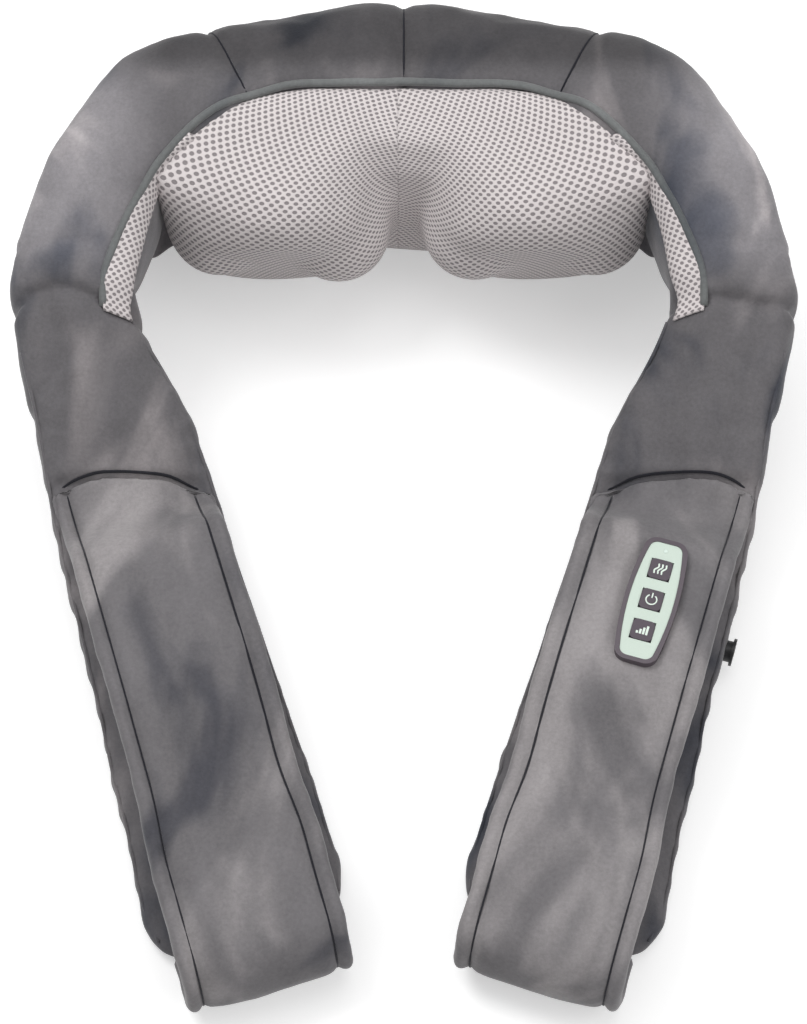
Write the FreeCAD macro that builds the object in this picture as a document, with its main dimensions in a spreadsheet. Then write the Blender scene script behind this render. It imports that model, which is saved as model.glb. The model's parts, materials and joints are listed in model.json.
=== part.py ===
"""Shiatsu neck massager: a padded collar with two kneading heads behind a mesh panel,
and two padded arms that end in hand loops. The right loop carries the control panel.

World frame: +Z up, +X to the wearer's right hand side, arms towards -Y. The origin is on
the floor, in the middle of the plan. Lengths are millimetres, angles are degrees.

Three local frames are used, each placed once:
  drive frame   origin between the two kneading heads, +y along the head axes into the
                housing; it leans forward by drive_tilt about X
  arm frame     origin at the arm's hinge, +x along the arm, +y across it, +z up
  panel frame   origin on top of the loop strap, +x along it, +z out of the panel
"""
import FreeCAD, Part
import math
import os
import re
import Sketcher
from FreeCAD import Placement, Rotation, Vector

SIZES = {
    # collar
    "collar_height": 150, "collar_back": 264, "collar_depth": 70, "back_flat": 30,
    "shoulder_x": 150, "back_bow": 28, "side_x": 204, "side_y": 126,
    "inner_flat": 93, "inner_side_x": 130, "inner_side_y": 142,
    "neck_slope_y": 150, "foot_y": 124, "end_low": 58, "end_high": 106,
    "cover_wall": 2.5, "soft_gap": 0.3,
    # mesh panel
    "mesh_wall": 2, "mesh_room": 6, "mesh_notch": 12,
    # arms and loops
    "hinge_x": 171, "hinge_y": 86, "hinge_z": 84, "arm_yaw": 17, "arm_slope": 24,
    "hinge_half": 33, "knuckle_r": 18, "fold_up": 35, "fold_down": 20, "fold_room": 3,
    "arm_length": 331, "arm_thick": 20, "arm_half": 44, "arm_end_half": 49,
    "strap_half": 35, "strap_end_half": 38, "strap_thick": 13, "loop_reach": 25,
    "strap_start": 76, "strap_skew": 9, "strap_rise": 73, "strap_dip": 55, "strap_hump": 65,
    # drive
    "drive_y": 158, "drive_tilt": 22, "head_x": 70, "orbit": 34, "large_r": 21, "small_r": 14,
    "plate_front": 14, "plate_thick": 8, "plate_gap": 4, "hub_disc": 16, "lobe": 12,
    "housing_depth": 42, "wall": 2.5, "corner": 14, "split_depth": 10, "inner_room": 3,
    "gear_module": 1.5, "wheel_teeth": 40, "wheel_width": 12, "worm_pitch": 7.5,
    "worm_length": 30, "backlash": 0.5, "running": 0.05,
    "axle_r": 5, "axle_bore": 2.2, "hub_r": 11, "shaft_r": 2.5, "bush_r": 5, "bush_width": 8,
    "motor_r": 14, "motor_length": 54, "can_wall": 1.5, "armature_r": 9.5,
    "screw_r": 1.5, "screw_head": 3, "boss_r": 5,
    "board_half": 26, "board_low": -18, "board_high": 22, "board_thick": 1.6,
    # control panel
    "panel_at": 164, "panel_length": 70, "panel_width": 27, "panel_end": 20, "panel_corner": 6.5, "panel_rim": 2.2,
    "panel_rise": 3.6, "panel_sink": 5, "face_thick": 1.6, "button_side": 11,
    "button_pitch": 17.5, "led_at": 28.5, "button_travel": 0.5, "button_gap": 0.2, "keyboard_thick": 1.2,
    # power inlet
    "inlet_at": 150, "inlet_r": 5.5, "inlet_length": 22, "inlet_flange": 7.2,
    "inlet_bore": 2.8, "inlet_pin": 1.05,
}

doc = FreeCAD.newDocument("neck_massager")
sheet = doc.addObject("Spreadsheet::Sheet", "Sizes")
for row, (word, value) in enumerate(SIZES.items(), start=1):
    sheet.set(f"A{row}", word)
    sheet.set(f"B{row}", str(value))
    sheet.setAlias(f"B{row}", word)
doc.recompute()

parts = []


def size(word):
    """The sheet's value for one alias."""
    return float(sheet.get(word))


def formula(text):
    """An expression on the sheet, from a text that names aliases alone."""
    return re.sub(r"\b[a-z][a-z_]*\b",
                  lambda word: f"Sizes.{word.group()}" if word.group() in SIZES else word.group(),
                  str(text))


def bind(obj, **values):
    """Bind properties of an object to formulas; x, y and z are its position."""
    for name, text in values.items():
        path = f"Placement.Base.{name}" if name in ("x", "y", "z") else name
        obj.setExpression(path, formula(text))
    return obj


# Formulas that several pieces share
HOUSE_FRONT = "(plate_front + plate_thick + plate_gap)"
HOUSE_BACK = f"({HOUSE_FRONT} + housing_depth)"
WHEEL_Y = f"({HOUSE_FRONT} + housing_depth / 2)"
WHEEL_R = "(gear_module * wheel_teeth / 2)"
WORM_Z = f"(-{WHEEL_R} - worm_pitch)"
WHEEL_TIP = f"({WHEEL_R} + 0.8 * gear_module)"
HOUSE_HALF = f"(head_x + {WHEEL_TIP} + inner_room + wall)"
HOUSE_TOP = f"({WHEEL_TIP} + inner_room + wall)"
HOUSE_LOW = f"({WORM_Z} - motor_r - inner_room - wall)"
SPLIT_Y = f"({HOUSE_FRONT} + split_depth)"

TURN = {"x": Rotation(Vector(0, 1, 0), 90),
        "y": Rotation(Vector(1, 0, 0), -90),
        "z": Rotation()}


def box(name, x_low, x_high, y_low, y_high, z_low, z_high):
    piece = doc.addObject("Part::Box", name)
    return bind(piece, Length=f"({x_high}) - ({x_low})", Width=f"({y_high}) - ({y_low})",
                Height=f"({z_high}) - ({z_low})", x=x_low, y=y_low, z=z_low)


def rod(name, axis, radius, start, end, across=0, up=0):
    """A cylinder along x, y or z; across and up are its other two coordinates."""
    piece = doc.addObject("Part::Cylinder", name)
    piece.Placement = Placement(Vector(), TURN[axis])
    first, second = {"x": "yz", "y": "xz", "z": "xy"}[axis]
    bind(piece, Radius=radius, Height=f"({end}) - ({start})")
    return bind(piece, **{axis: start, first: across, second: up})


def cone(name, axis, start_r, end_r, start, end, across=0, up=0):
    piece = doc.addObject("Part::Cone", name)
    piece.Placement = Placement(Vector(), TURN[axis])
    first, second = {"x": "yz", "y": "xz", "z": "xy"}[axis]
    bind(piece, Radius1=start_r, Radius2=end_r, Height=f"({end}) - ({start})")
    return bind(piece, **{axis: start, first: across, second: up})


def ball(name, radius, x=0, y=0, z=0):
    piece = doc.addObject("Part::Sphere", name)
    return bind(piece, Radius=radius, x=x, y=y, z=z)


def join(name, pieces):
    """One object from several; pieces that stay apart remain separate solids."""
    fused = doc.addObject("Part::MultiFuse", name)
    fused.Shapes = pieces
    return fused


def cut(name, base, *tools):
    result = doc.addObject("Part::Cut", name)
    result.Base = base
    result.Tool = tools[0] if len(tools) == 1 else join(f"{name}_tools", list(tools))
    return result


def solid(name, shape):
    """A Part::Feature for a shape that primitives and sketches don't make."""
    piece = doc.addObject("Part::Feature", name)
    piece.Shape = shape
    return piece


def keep(label, piece, frame=Placement()):
    """Name a finished sub-part and put it in the world frame.

    A bare primitive's own place is bound to the sheet, so a compound carries the frame.
    """
    if piece.TypeId in ("Part::Cylinder", "Part::Box"):
        holder = doc.addObject("Part::Compound", f"{piece.Name}Piece")
        holder.Links = [piece]
        piece = holder
    piece.Label = label
    piece.Placement = frame.multiply(piece.Placement)
    parts.append(piece)
    return piece


# Sketches for PartDesign bodies ------------------------------------------------------------

def new_body(name):
    return doc.addObject("PartDesign::Body", name)


def new_sketch(body, role, name):
    plane = [item for item in body.Origin.OriginFeatures if item.Role == role][0]
    sketch = body.newObject("Sketcher::SketchObject", name)
    sketch.AttachmentSupport = (plane, [""])
    sketch.MapMode = "FlatFace"
    return sketch


def dimension(sketch, word, constraint, text):
    """Add a named dimension and bind it to a formula."""
    index = sketch.addConstraint(constraint)
    sketch.renameConstraint(index, word)
    sketch.setExpression(f"Constraints.{word}", formula(text))


def rectangle_sketch(body, role, name, width, height):
    """A rectangle centred on the sketch's origin."""
    sketch = new_sketch(body, role, name)
    corners = [Vector(-5, -4), Vector(5, -4), Vector(5, 4), Vector(-5, 4)]
    for index in range(4):
        sketch.addGeometry(Part.LineSegment(corners[index], corners[(index + 1) % 4]))
    for index in range(4):
        sketch.addConstraint(Sketcher.Constraint("Coincident", index, 2, (index + 1) % 4, 1))
    for index, kind in enumerate(("Horizontal", "Vertical", "Horizontal", "Vertical")):
        sketch.addConstraint(Sketcher.Constraint(kind, index))
    sketch.addConstraint(Sketcher.Constraint("Symmetric", 0, 1, 1, 2, -1, 1))
    dimension(sketch, "width", Sketcher.Constraint("DistanceX", 0, 1, 0, 2, 10.0), width)
    dimension(sketch, "height", Sketcher.Constraint("DistanceY", 1, 1, 1, 2, 8.0), height)
    return sketch


def circle_sketch(body, role, name, radius):
    sketch = new_sketch(body, role, name)
    sketch.addGeometry(Part.Circle(Vector(), Vector(0, 0, 1), 5))
    sketch.addConstraint(Sketcher.Constraint("Coincident", 0, 3, -1, 1))
    dimension(sketch, "radius", Sketcher.Constraint("Radius", 0, 5.0), radius)
    return sketch


def barrel_sketch(body, name, inset):
    """The control panel's outline: bowed long sides between straight short ends."""
    sketch = new_sketch(body, "XY_Plane", name)
    half = size("panel_length") / 2 - inset
    end = size("panel_end") / 2 - inset
    bulge = size("panel_width") / 2 - inset
    corners = [Vector(-half, -end), Vector(half, -end), Vector(half, end), Vector(-half, end)]
    sketch.addGeometry(Part.Arc(corners[0], Vector(0, -bulge), corners[1]))
    sketch.addGeometry(Part.LineSegment(corners[1], corners[2]))
    sketch.addGeometry(Part.Arc(corners[2], Vector(0, bulge), corners[3]))
    sketch.addGeometry(Part.LineSegment(corners[3], corners[0]))
    for first, first_end, second, second_end in ((0, 1, 3, 2), (0, 2, 1, 1), (1, 2, 2, 1), (2, 2, 3, 1)):
        sketch.addConstraint(Sketcher.Constraint("Coincident", first, first_end, second, second_end))
    sketch.addConstraint(Sketcher.Constraint("Symmetric", 1, 1, 1, 2, -1))
    sketch.addConstraint(Sketcher.Constraint("Symmetric", 3, 1, 3, 2, -1))
    sketch.addConstraint(Sketcher.Constraint("Symmetric", 1, 1, 3, 1, -1, 1))
    sag = "((panel_width - panel_end) / 2)"
    span = f"(panel_length / 2 - {inset})"
    radius = f"(({span} ^ 2 + {sag} ^ 2) / (2 * {sag}))"
    first_r = sketch.Geometry[0].Radius
    dimension(sketch, "length", Sketcher.Constraint("DistanceX", 3, 2, 1, 1, 2 * half),
              f"panel_length - 2 * {inset}")
    dimension(sketch, "end", Sketcher.Constraint("DistanceY", 1, 1, 1, 2, 2 * end),
              f"panel_end - 2 * {inset}")
    dimension(sketch, "lower_bow", Sketcher.Constraint("Radius", 0, first_r), radius)
    dimension(sketch, "upper_bow", Sketcher.Constraint("Radius", 2, first_r), radius)
    return sketch


def pad(body, sketch, length, start=0, name="Pad"):
    """Pad a sketch from start, measured along the sketch's normal."""
    sketch.setExpression("AttachmentOffset.Base.z", formula(start))
    feature = body.newObject("PartDesign::Pad", name)
    feature.Profile = sketch
    feature.setExpression("Length", formula(length))
    return feature


def pocket(body, sketch, start, name="Pocket"):
    """Cut a sketch through everything in front of start."""
    sketch.setExpression("AttachmentOffset.Base.z", formula(start))
    feature = body.newObject("PartDesign::Pocket", name)
    feature.Profile = sketch
    feature.Type = "ThroughAll"
    feature.Reversed = True
    return feature


def upright_edges(shape, direction, within):
    """Names of the straight edges along a direction, whose |x| and |y| are under the two sizes in within."""
    names = []
    for index, edge in enumerate(shape.Edges, start=1):
        if not isinstance(edge.Curve, Part.Line):
            continue
        middle = edge.CenterOfMass
        inside = within is None or (abs(middle.x) < within[0] and abs(middle.y) < within[1])
        if inside and abs(abs(edge.Curve.Direction.dot(direction)) - 1) < 1e-6:
            names.append(f"Edge{index}")
    return names


def round_corners(body, feature, radius, direction=Vector(0, 0, 1), within=None):
    doc.recompute()
    fillet = body.newObject("PartDesign::Fillet", "Fillet")
    fillet.Base = (feature, upright_edges(feature.Shape, direction, within))
    fillet.setExpression("Radius", formula(radius))
    return fillet


# Outlines for soft solids -------------------------------------------------------------------

def outline(points, to_vector):
    """A closed face through (a, b, radius) corners, each rounded by an arc of its radius."""
    corners = [Vector(a, b, 0) for a, b, radius in points]
    edges = []
    previous_end = None
    first_start = None
    for index, (a, b, radius) in enumerate(points):
        here = corners[index]
        before = corners[index - 1]
        after = corners[(index + 1) % len(points)]
        back = (before - here).normalize()
        ahead = (after - here).normalize()
        half_angle = back.getAngle(ahead) / 2
        reach = radius / math.tan(half_angle) if radius else 0
        start = here + back * reach
        end = here + ahead * reach
        if previous_end is None:
            first_start = start
        elif previous_end.distanceToPoint(start) > 1e-6:
            edges.append(Part.LineSegment(to_vector(previous_end), to_vector(start)).toShape())
        if radius:
            middle_way = (back + ahead).normalize()
            middle = here + middle_way * (radius / math.sin(half_angle) - radius)
            edges.append(Part.Arc(to_vector(start), to_vector(middle), to_vector(end)).toShape())
        previous_end = end
    edges.append(Part.LineSegment(to_vector(previous_end), to_vector(first_start)).toShape())
    return Part.Face(Part.Wire(edges))


def on_plan(point):
    return Vector(point.x, point.y, 0)


def on_side(point):
    """Side outlines are drawn as (y, z)."""
    return Vector(0, point.x, point.y)


def on_arm_side(point):
    """The arm's side outlines are drawn as (x, z)."""
    return Vector(point.x, 0, point.y)


def mirrored(half):
    """A closed outline from its right half, which starts and ends on the middle line."""
    return half + [(-a, b, radius) for a, b, radius in reversed(half) if a > 1e-6]


def grown(face, margin):
    """The same face, larger or smaller by a margin all round."""
    return face if margin == 0 else face.makeOffset2D(margin)


# The three local frames ---------------------------------------------------------------------

DRIVE_Z = size("collar_height") / 2 + 1
drive_frame = Placement(Vector(0, size("drive_y"), DRIVE_Z),
                        Rotation(Vector(1, 0, 0), size("drive_tilt")))


def arm_frame(side):
    """side is -1 for the left arm and 1 for the right."""
    place = Vector(side * size("hinge_x"), size("hinge_y"), size("hinge_z"))
    return Placement(place, Rotation(Vector(0, 0, 1), -90 - side * size("arm_yaw")))


# Collar -------------------------------------------------------------------------------------

def fold_sector(side):
    """The space that an arm sweeps as it folds, open towards the arm."""
    far = 150
    slope = size("arm_slope")
    upper = math.radians(90 - slope + size("fold_up") + size("fold_room"))
    lower = math.radians(270 - slope - size("fold_down") - size("fold_room"))
    face = outline([(0, 0, 0), (far * math.cos(upper), far * math.sin(upper), 0), (far, far, 0),
                    (far, -far, 0), (far * math.cos(lower), far * math.sin(lower), 0)], on_arm_side)
    half = 2 * size("hinge_half")
    sector = face.extrude(Vector(0, 2 * half, 0)).translated(Vector(0, -half, 0))
    knuckle = Part.makeCylinder(size("knuckle_r") + size("soft_gap"), 2 * half,
                                Vector(0, -half, 0), Vector(0, 1, 0))
    space = sector.fuse(knuckle)
    space.Placement = arm_frame(side)
    return space


def collar_form(inset):
    """The collar's outer shape, made smaller by inset on every side."""
    back = size("collar_back")
    inner_y = back - size("collar_depth")
    yaw = math.radians(size("arm_yaw"))
    across = Vector(math.cos(yaw), -math.sin(yaw), 0) * size("hinge_half")
    hinge = Vector(size("hinge_x"), size("hinge_y"), 0)
    outer_end = hinge + across
    inner_end = hinge - across
    plan = outline(mirrored([(size("back_flat"), back, 150),
                             (size("shoulder_x"), back - size("back_bow"), 80),
                             (size("side_x"), size("side_y"), 90),
                             (outer_end.x, outer_end.y, 0),
                             (inner_end.x, inner_end.y, 0),
                             (size("inner_side_x"), size("inner_side_y"), 60),
                             (size("inner_flat"), inner_y, 30)]), on_plan)
    high = size("collar_height")
    front = min(outer_end.y, inner_end.y) - 10
    profile = outline([(back + 10, 0, 0), (size("foot_y"), 0, 20),
                       (size("hinge_y") + 5, size("end_low"), 12),
                       (front, size("end_low"), 0), (front, size("end_high"), 0),
                       (size("hinge_y") + 8, size("end_high"), 20),
                       (size("neck_slope_y"), high, 45), (back + 10, high, 0)], on_side)
    column = grown(plan, -inset).extrude(Vector(0, 0, high))
    width = 2 * size("side_x") + 60
    slab = grown(profile, -inset).extrude(Vector(width, 0, 0)).translated(Vector(-width / 2, 0, 0))
    form = column.common(slab)
    for side in (-1, 1):
        form = form.cut(fold_sector(side))
    return form


def mesh_form(inset):
    """The mesh panel's outer shape, which clears the kneading nodes all the way round."""
    reach = size("orbit") + size("large_r") + size("mesh_room") - inset
    front = -(size("large_r") + size("mesh_room") - inset)
    wall_y = size("collar_back") - size("collar_depth") + size("cover_wall") + abs(inset)
    top_back = Vector(0, wall_y, size("collar_height") - 3 - inset)
    inverse = drive_frame.inverse()
    top = inverse.multVec(top_back)
    tilt = math.radians(size("drive_tilt"))
    low_y = (wall_y - size("drive_y") - reach * math.sin(tilt)) / math.cos(tilt)
    corner = 22 - inset
    profile = outline([(top.y, top.z, 0), (front, reach, corner), (front, -reach, corner),
                       (low_y, -reach, 0)], on_side)
    half = size("head_x") + reach
    far = 2 * half + 40
    slab = profile.extrude(Vector(far, 0, 0)).translated(Vector(-far / 2, 0, 0))
    slab.Placement = drive_frame.multiply(slab.Placement)
    nose = size("drive_y") - 60
    notch_y = size("drive_y") + 12
    plan = outline(mirrored([(0, notch_y - inset, 0),
                             (size("mesh_notch") + inset, nose, 8),
                             (half, nose, 55 - inset), (half, wall_y, 0)]), on_plan)
    column = plan.extrude(Vector(0, 0, 2 * size("collar_height")))
    return slab.common(column)


def drive_room(gap):
    """The housing's box with a gap round it, in the world frame."""
    half = HOUSE_HALF_MM + gap
    room = Part.makeBox(2 * half, size("housing_depth") + 2 * gap, HOUSE_TOP_MM - HOUSE_LOW_MM + 2 * gap,
                        Vector(-half, HOUSE_FRONT_MM - gap, HOUSE_LOW_MM - gap))
    room.Placement = drive_frame
    return room


def value_of(text):
    """The number that a formula on the sheet gives now."""
    probe = doc.addObject("Part::Box", "Probe")
    probe.setExpression("Placement.Base.x", formula(text))
    doc.recompute()
    number = probe.Placement.Base.x
    doc.removeObject("Probe")
    return number


HOUSE_FRONT_MM = value_of(HOUSE_FRONT)
HOUSE_HALF_MM = value_of(HOUSE_HALF)
HOUSE_TOP_MM = value_of(HOUSE_TOP)
HOUSE_LOW_MM = value_of(HOUSE_LOW)


def make_collar():
    gap = size("soft_gap")
    wall = size("cover_wall")
    opening = mesh_form(-gap)
    room = drive_room(gap)
    cover = collar_form(0).cut(collar_form(wall)).cut(opening).cut(room)
    foam = collar_form(wall + gap).cut(opening).cut(room)
    keep("collar_cover", solid("CollarCover", cover))
    keep("collar_foam", solid("CollarFoam", foam))
    mesh = mesh_form(0).cut(mesh_form(size("mesh_wall")))
    keep("mesh_panel", solid("MeshPanel", mesh))


# Arms and loops ------------------------------------------------------------------------------

def arm_profile(inset):
    """The arm's side outline: thick at the hinge, sloping down, then flat on the floor."""
    slope = math.radians(size("arm_slope"))
    normal = Vector(math.sin(slope), math.cos(slope), 0)
    along = Vector(math.cos(slope), -math.sin(slope), 0)
    knuckle = size("knuckle_r")
    floor = -size("hinge_z")
    top = floor + size("arm_thick")
    knee = along * (4.25 * knuckle)
    knee_top = knee + normal * (0.65 * knuckle)
    knee_low = knee - normal * (0.65 * knuckle)
    fall = math.tan(slope)
    end = size("arm_length")
    nose = size("arm_thick") / 2 - 0.1
    upper = normal * knuckle
    lower = normal * -knuckle
    face = outline([(upper.x, upper.y, 0), (knee_top.x, knee_top.y, 150),
                    (knee_top.x + (knee_top.y - top) / fall, top, 200),
                    (end, top, nose), (end, floor, nose),
                    (knee_low.x + (knee_low.y - floor) / fall, floor, 220),
                    (knee_low.x, knee_low.y, 100), (lower.x, lower.y, 0)], on_arm_side)
    return grown(face, -inset)


def arm_form(inset):
    """The arm pad with its hinge knuckle, made smaller by inset."""
    profile = arm_profile(inset)
    hinge_half = size("hinge_half")
    half = size("arm_half")
    end_half = size("arm_end_half")
    end = size("arm_length")
    sides = [(-30, hinge_half, 0), (40, hinge_half + 3, 80), (90, half - 3, 80),
             (0.6 * end, half, 100), (0.9 * end, end_half, 60), (end, end_half, 30)]
    plan = outline([(x, -y, radius) for x, y, radius in sides]
                   + [(x, y, radius) for x, y, radius in reversed(sides)], on_plan)
    column = grown(plan, -inset).extrude(Vector(0, 0, 400)).translated(Vector(0, 0, -200))
    far = 3 * end_half
    slab = profile.extrude(Vector(0, 2 * far, 0)).translated(Vector(0, -far, 0))
    knuckle = Part.makeCylinder(size("knuckle_r") - inset, 2 * (hinge_half - inset),
                                Vector(0, inset - hinge_half, 0), Vector(0, 1, 0))
    return slab.common(column).fuse(knuckle)


def strap_heights():
    """Stations of the strap's upper line in the arm frame, as (x, z, radius)."""
    floor = -size("hinge_z")
    rise = floor + size("strap_rise")
    end = size("arm_length")
    start = size("strap_start")
    reach = end + size("loop_reach")
    return [(start, floor + 63, 0), (start + 50, rise, 40), (0.61 * end, rise - 2, 40),
            (0.785 * end, floor + size("strap_dip"), 60), (0.91 * end, floor + size("strap_hump"), 45),
            (reach - 10, floor + size("strap_hump") - 7, 26), (reach, floor + 22, 22),
            (reach - 13, floor + 2, 10)]


def strap_form(inset, side):
    """The loop strap: up from its seam, along over the arm and round to the arm's end."""
    upper = strap_heights()
    thick = size("strap_thick")
    floor = -size("hinge_z")
    end = size("arm_length")
    reach = end + size("loop_reach")
    rise = upper[1][1]
    lower = [(end - 12, floor + 2, 0), (end - 12, floor + 2 + thick, 0),
             (reach - thick - 6, floor + 2 + thick, 5), (reach - thick - 1, floor + 26, 8),
             (reach - thick - 9, upper[4][1] - thick - 4, 13), (0.91 * end, upper[4][1] - thick, 32),
             (0.785 * end, upper[3][1] - thick, 60), (0.61 * end, rise - 2 - thick, 40),
             (upper[1][0], rise - thick, 40), (upper[0][0] + 8, floor + 50, 0)]
    face = grown(outline(upper + lower, on_arm_side), -inset)
    half = size("strap_half")
    end_half = size("strap_end_half")
    start = size("strap_start")
    skew = size("strap_skew")
    plan = outline([(start + skew * (1 + side), -half, 0), (0.75 * end, -half, 80), (0.88 * end, -end_half, 80),
                    (reach + 10, -end_half, 0), (reach + 10, end_half, 0), (0.88 * end, end_half, 80),
                    (0.75 * end, half, 80), (start + skew * (1 - side), half, 0)], on_plan)
    column = grown(plan, -inset).extrude(Vector(0, 0, 400)).translated(Vector(0, 0, -200))
    far = 2 * end_half
    band = face.extrude(Vector(0, 2 * far, 0)).translated(Vector(0, -far, 0)).common(column)
    gap = size("soft_gap")
    pad_space = arm_profile(-gap - inset).extrude(Vector(0, 2 * far, 0)).translated(Vector(0, -far, 0))
    return band.cut(pad_space)


def panel_frame(side):
    """On the strap's upper line, at the control panel's middle."""
    upper = strap_heights()
    first, second = upper[1], upper[2]
    slope = math.atan2(second[1] - first[1], second[0] - first[0])
    at = size("panel_at")
    local = Placement(Vector(at, 0, first[1] + (at - first[0]) * math.tan(slope)),
                      Rotation(Vector(0, 1, 0), -math.degrees(slope)))
    return arm_frame(side).multiply(local)


def panel_space(gap):
    """The pocket in the right strap that the control panel sits in."""
    length = size("panel_length") + 2 * gap
    width = size("panel_width") + 2 * gap
    depth = size("panel_sink") + gap
    space = Part.makeBox(length, width, depth + 30, Vector(-length / 2, -width / 2, -depth))
    space.Placement = panel_frame(1)
    return space


def inlet_point():
    """Where the power inlet's flange meets the right arm's outer side, in the arm frame."""
    at = size("inlet_at")
    end = size("arm_length")
    share = (at - 90) / (0.6 * end - 90)
    half = size("arm_half") - 3 + 3 * share
    return Vector(at, half, 17 - size("hinge_z"))


def inlet_space(gap):
    radius = size("inlet_r") + gap
    space = Part.makeCylinder(radius, 60, inlet_point() - Vector(0, size("inlet_length") + gap, 0),
                              Vector(0, 1, 0))
    space.Placement = arm_frame(1)
    return space


def make_arm(side):
    name = "left" if side < 0 else "right"
    frame = arm_frame(side)
    wall = size("cover_wall")
    gap = size("soft_gap")
    pieces = {"arm_cover": arm_form(0).cut(arm_form(wall)), "arm_foam": arm_form(wall + gap),
              "loop_cover": strap_form(0, side).cut(strap_form(wall, side)),
              "loop_foam": strap_form(wall + gap, side)}
    for word, shape in pieces.items():
        shape.Placement = frame
        if side > 0 and word.startswith("arm"):
            shape = shape.cut(inlet_space(gap))
        if side > 0 and word.startswith("loop"):
            shape = shape.cut(panel_space(gap))
        keep(f"{name}_{word}", solid(f"{name.title()}{word.title()}".replace("_", ""), shape))


def make_inlet():
    """A round power socket with its centre pin, in the right arm's outer side."""
    point = inlet_point()
    frame = arm_frame(1)
    mouth = point.y + 2
    barrel = rod("InletBarrel", "y", "inlet_r", f"{mouth} - inlet_length", mouth, point.x, point.z)
    flange = rod("InletFlange", "y", "inlet_flange", f"{mouth} - 1.5", mouth, point.x, point.z)
    bore = rod("InletBore", "y", "inlet_bore", f"{mouth} - 11", f"{mouth} + 1", point.x, point.z)
    seat = rod("InletPinSeat", "y", "inlet_pin", f"{mouth} - inlet_length", mouth, point.x, point.z)
    shell = cut("DcInlet", join("InletShell", [barrel, flange]), bore, seat)
    keep("dc_inlet", shell, frame)
    pin = rod("InletPin", "y", "inlet_pin", f"{mouth} - inlet_length", f"{mouth} - 1", point.x, point.z)
    keep("inlet_pin", pin, frame)


# Control panel -------------------------------------------------------------------------------

def make_panel():
    frame = panel_frame(1)
    back = "-panel_sink"
    board_top = "(-panel_sink + 1.5 + keyboard_thick + 1)"

    rim = size("panel_rim")
    opening = (size("panel_length") / 2 - rim / 2, size("panel_end") / 2 - rim / 2)
    bezel = new_body("PanelBezel")
    slab = pad(bezel, barrel_sketch(bezel, "BezelOutline", 0), "panel_rise - 0.2", 0.2)
    round_corners(bezel, slab, "panel_corner")
    hole = pocket(bezel, barrel_sketch(bezel, "BezelOpening", rim), 0)
    round_corners(bezel, hole, "panel_corner - panel_rim", within=opening)
    keep("panel_bezel", bezel, frame)

    face = new_body("PanelFace")
    slab = pad(face, barrel_sketch(face, "FaceOutline", rim + 0.1), "face_thick",
               "panel_rise - face_thick - 0.5")
    round_corners(face, slab, "panel_corner - panel_rim - 0.1")
    for index in (-1, 0, 1):
        name = f"Window{index + 2}"
        window = rectangle_sketch(face, "XY_Plane", name, "button_side + 2 * button_gap",
                                  "button_side + 2 * button_gap")
        window.setExpression("AttachmentOffset.Base.x", formula(f"{index} * button_pitch"))
        pocket(face, window, 0, f"{name}Cut")
    led_hole = circle_sketch(face, "XY_Plane", "LedHole", 1.1)
    led_hole.setExpression("AttachmentOffset.Base.x", formula("-led_at"))
    pocket(face, led_hole, 0, "LedHoleCut")
    keep("panel_face", face, frame)

    names = ("speed_button", "power_button", "heat_button")
    for index, name in zip((1, 0, -1), names):
        button = new_body(name.title().replace("_", ""))
        square = rectangle_sketch(button, "XY_Plane", f"{name}_outline", "button_side", "button_side")
        square.setExpression("AttachmentOffset.Base.x", formula(f"{index} * button_pitch"))
        block = pad(button, square, f"panel_rise - ({board_top}) - button_travel - 0.4",
                    f"{board_top} + button_travel + 0.6")
        round_corners(button, block, 2.2)
        keep(name, button, frame)

    board = new_body("KeypadBoard")
    pad(board, rectangle_sketch(board, "XY_Plane", "KeypadOutline", "panel_length - 12",
                                "panel_end - 4"), "keyboard_thick", f"{board_top} - keyboard_thick")
    keep("keypad_board", board, frame)

    switches = [rod(f"Switch{index + 2}", "z", 2.5, board_top, f"{board_top} + 0.5",
                    f"{index} * button_pitch", 0) for index in (-1, 0, 1)]
    keep("keypad_switches", join("KeypadSwitches", switches), frame)
    led = rod("StatusLed", "z", 1, board_top, "panel_rise - 0.4", "-led_at", 0)
    keep("status_led", led, frame)

    tray = new_body("PanelBack")
    slab = pad(tray, barrel_sketch(tray, "TrayOutline", 0), "panel_sink + 0.2", back)
    round_corners(tray, slab, "panel_corner")
    hollow = pocket(tray, barrel_sketch(tray, "TrayHollow", rim), f"{back} + 1.5")
    round_corners(tray, hollow, "panel_corner - panel_rim", within=opening)
    posts = [rod(f"TrayPost{index}", "z", 1.5, f"{back} + 1.4", f"{board_top} - keyboard_thick",
                 f"{sign_x} * (panel_length / 2 - 10)", f"{sign_y} * (panel_end / 2 - 4.5)")
             for index, (sign_x, sign_y) in enumerate(((-1, -1), (1, -1), (1, 1), (-1, 1)))]
    keep("panel_back", join("PanelTray", [tray] + posts), frame)


# Drive: housing, motor, worms and kneading heads ---------------------------------------------

def screw_places():
    """Where the housing screws stand, as (x, z) formulas."""
    side = f"({HOUSE_HALF} - wall - boss_r + 0.5)"
    up = f"({HOUSE_TOP} - wall - boss_r + 0.5)"
    down = f"({HOUSE_LOW} + wall + boss_r - 0.5)"
    return [(f"-{side}", up), (side, up), (f"-{side}", down), (side, down), ("0", up)]


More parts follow.
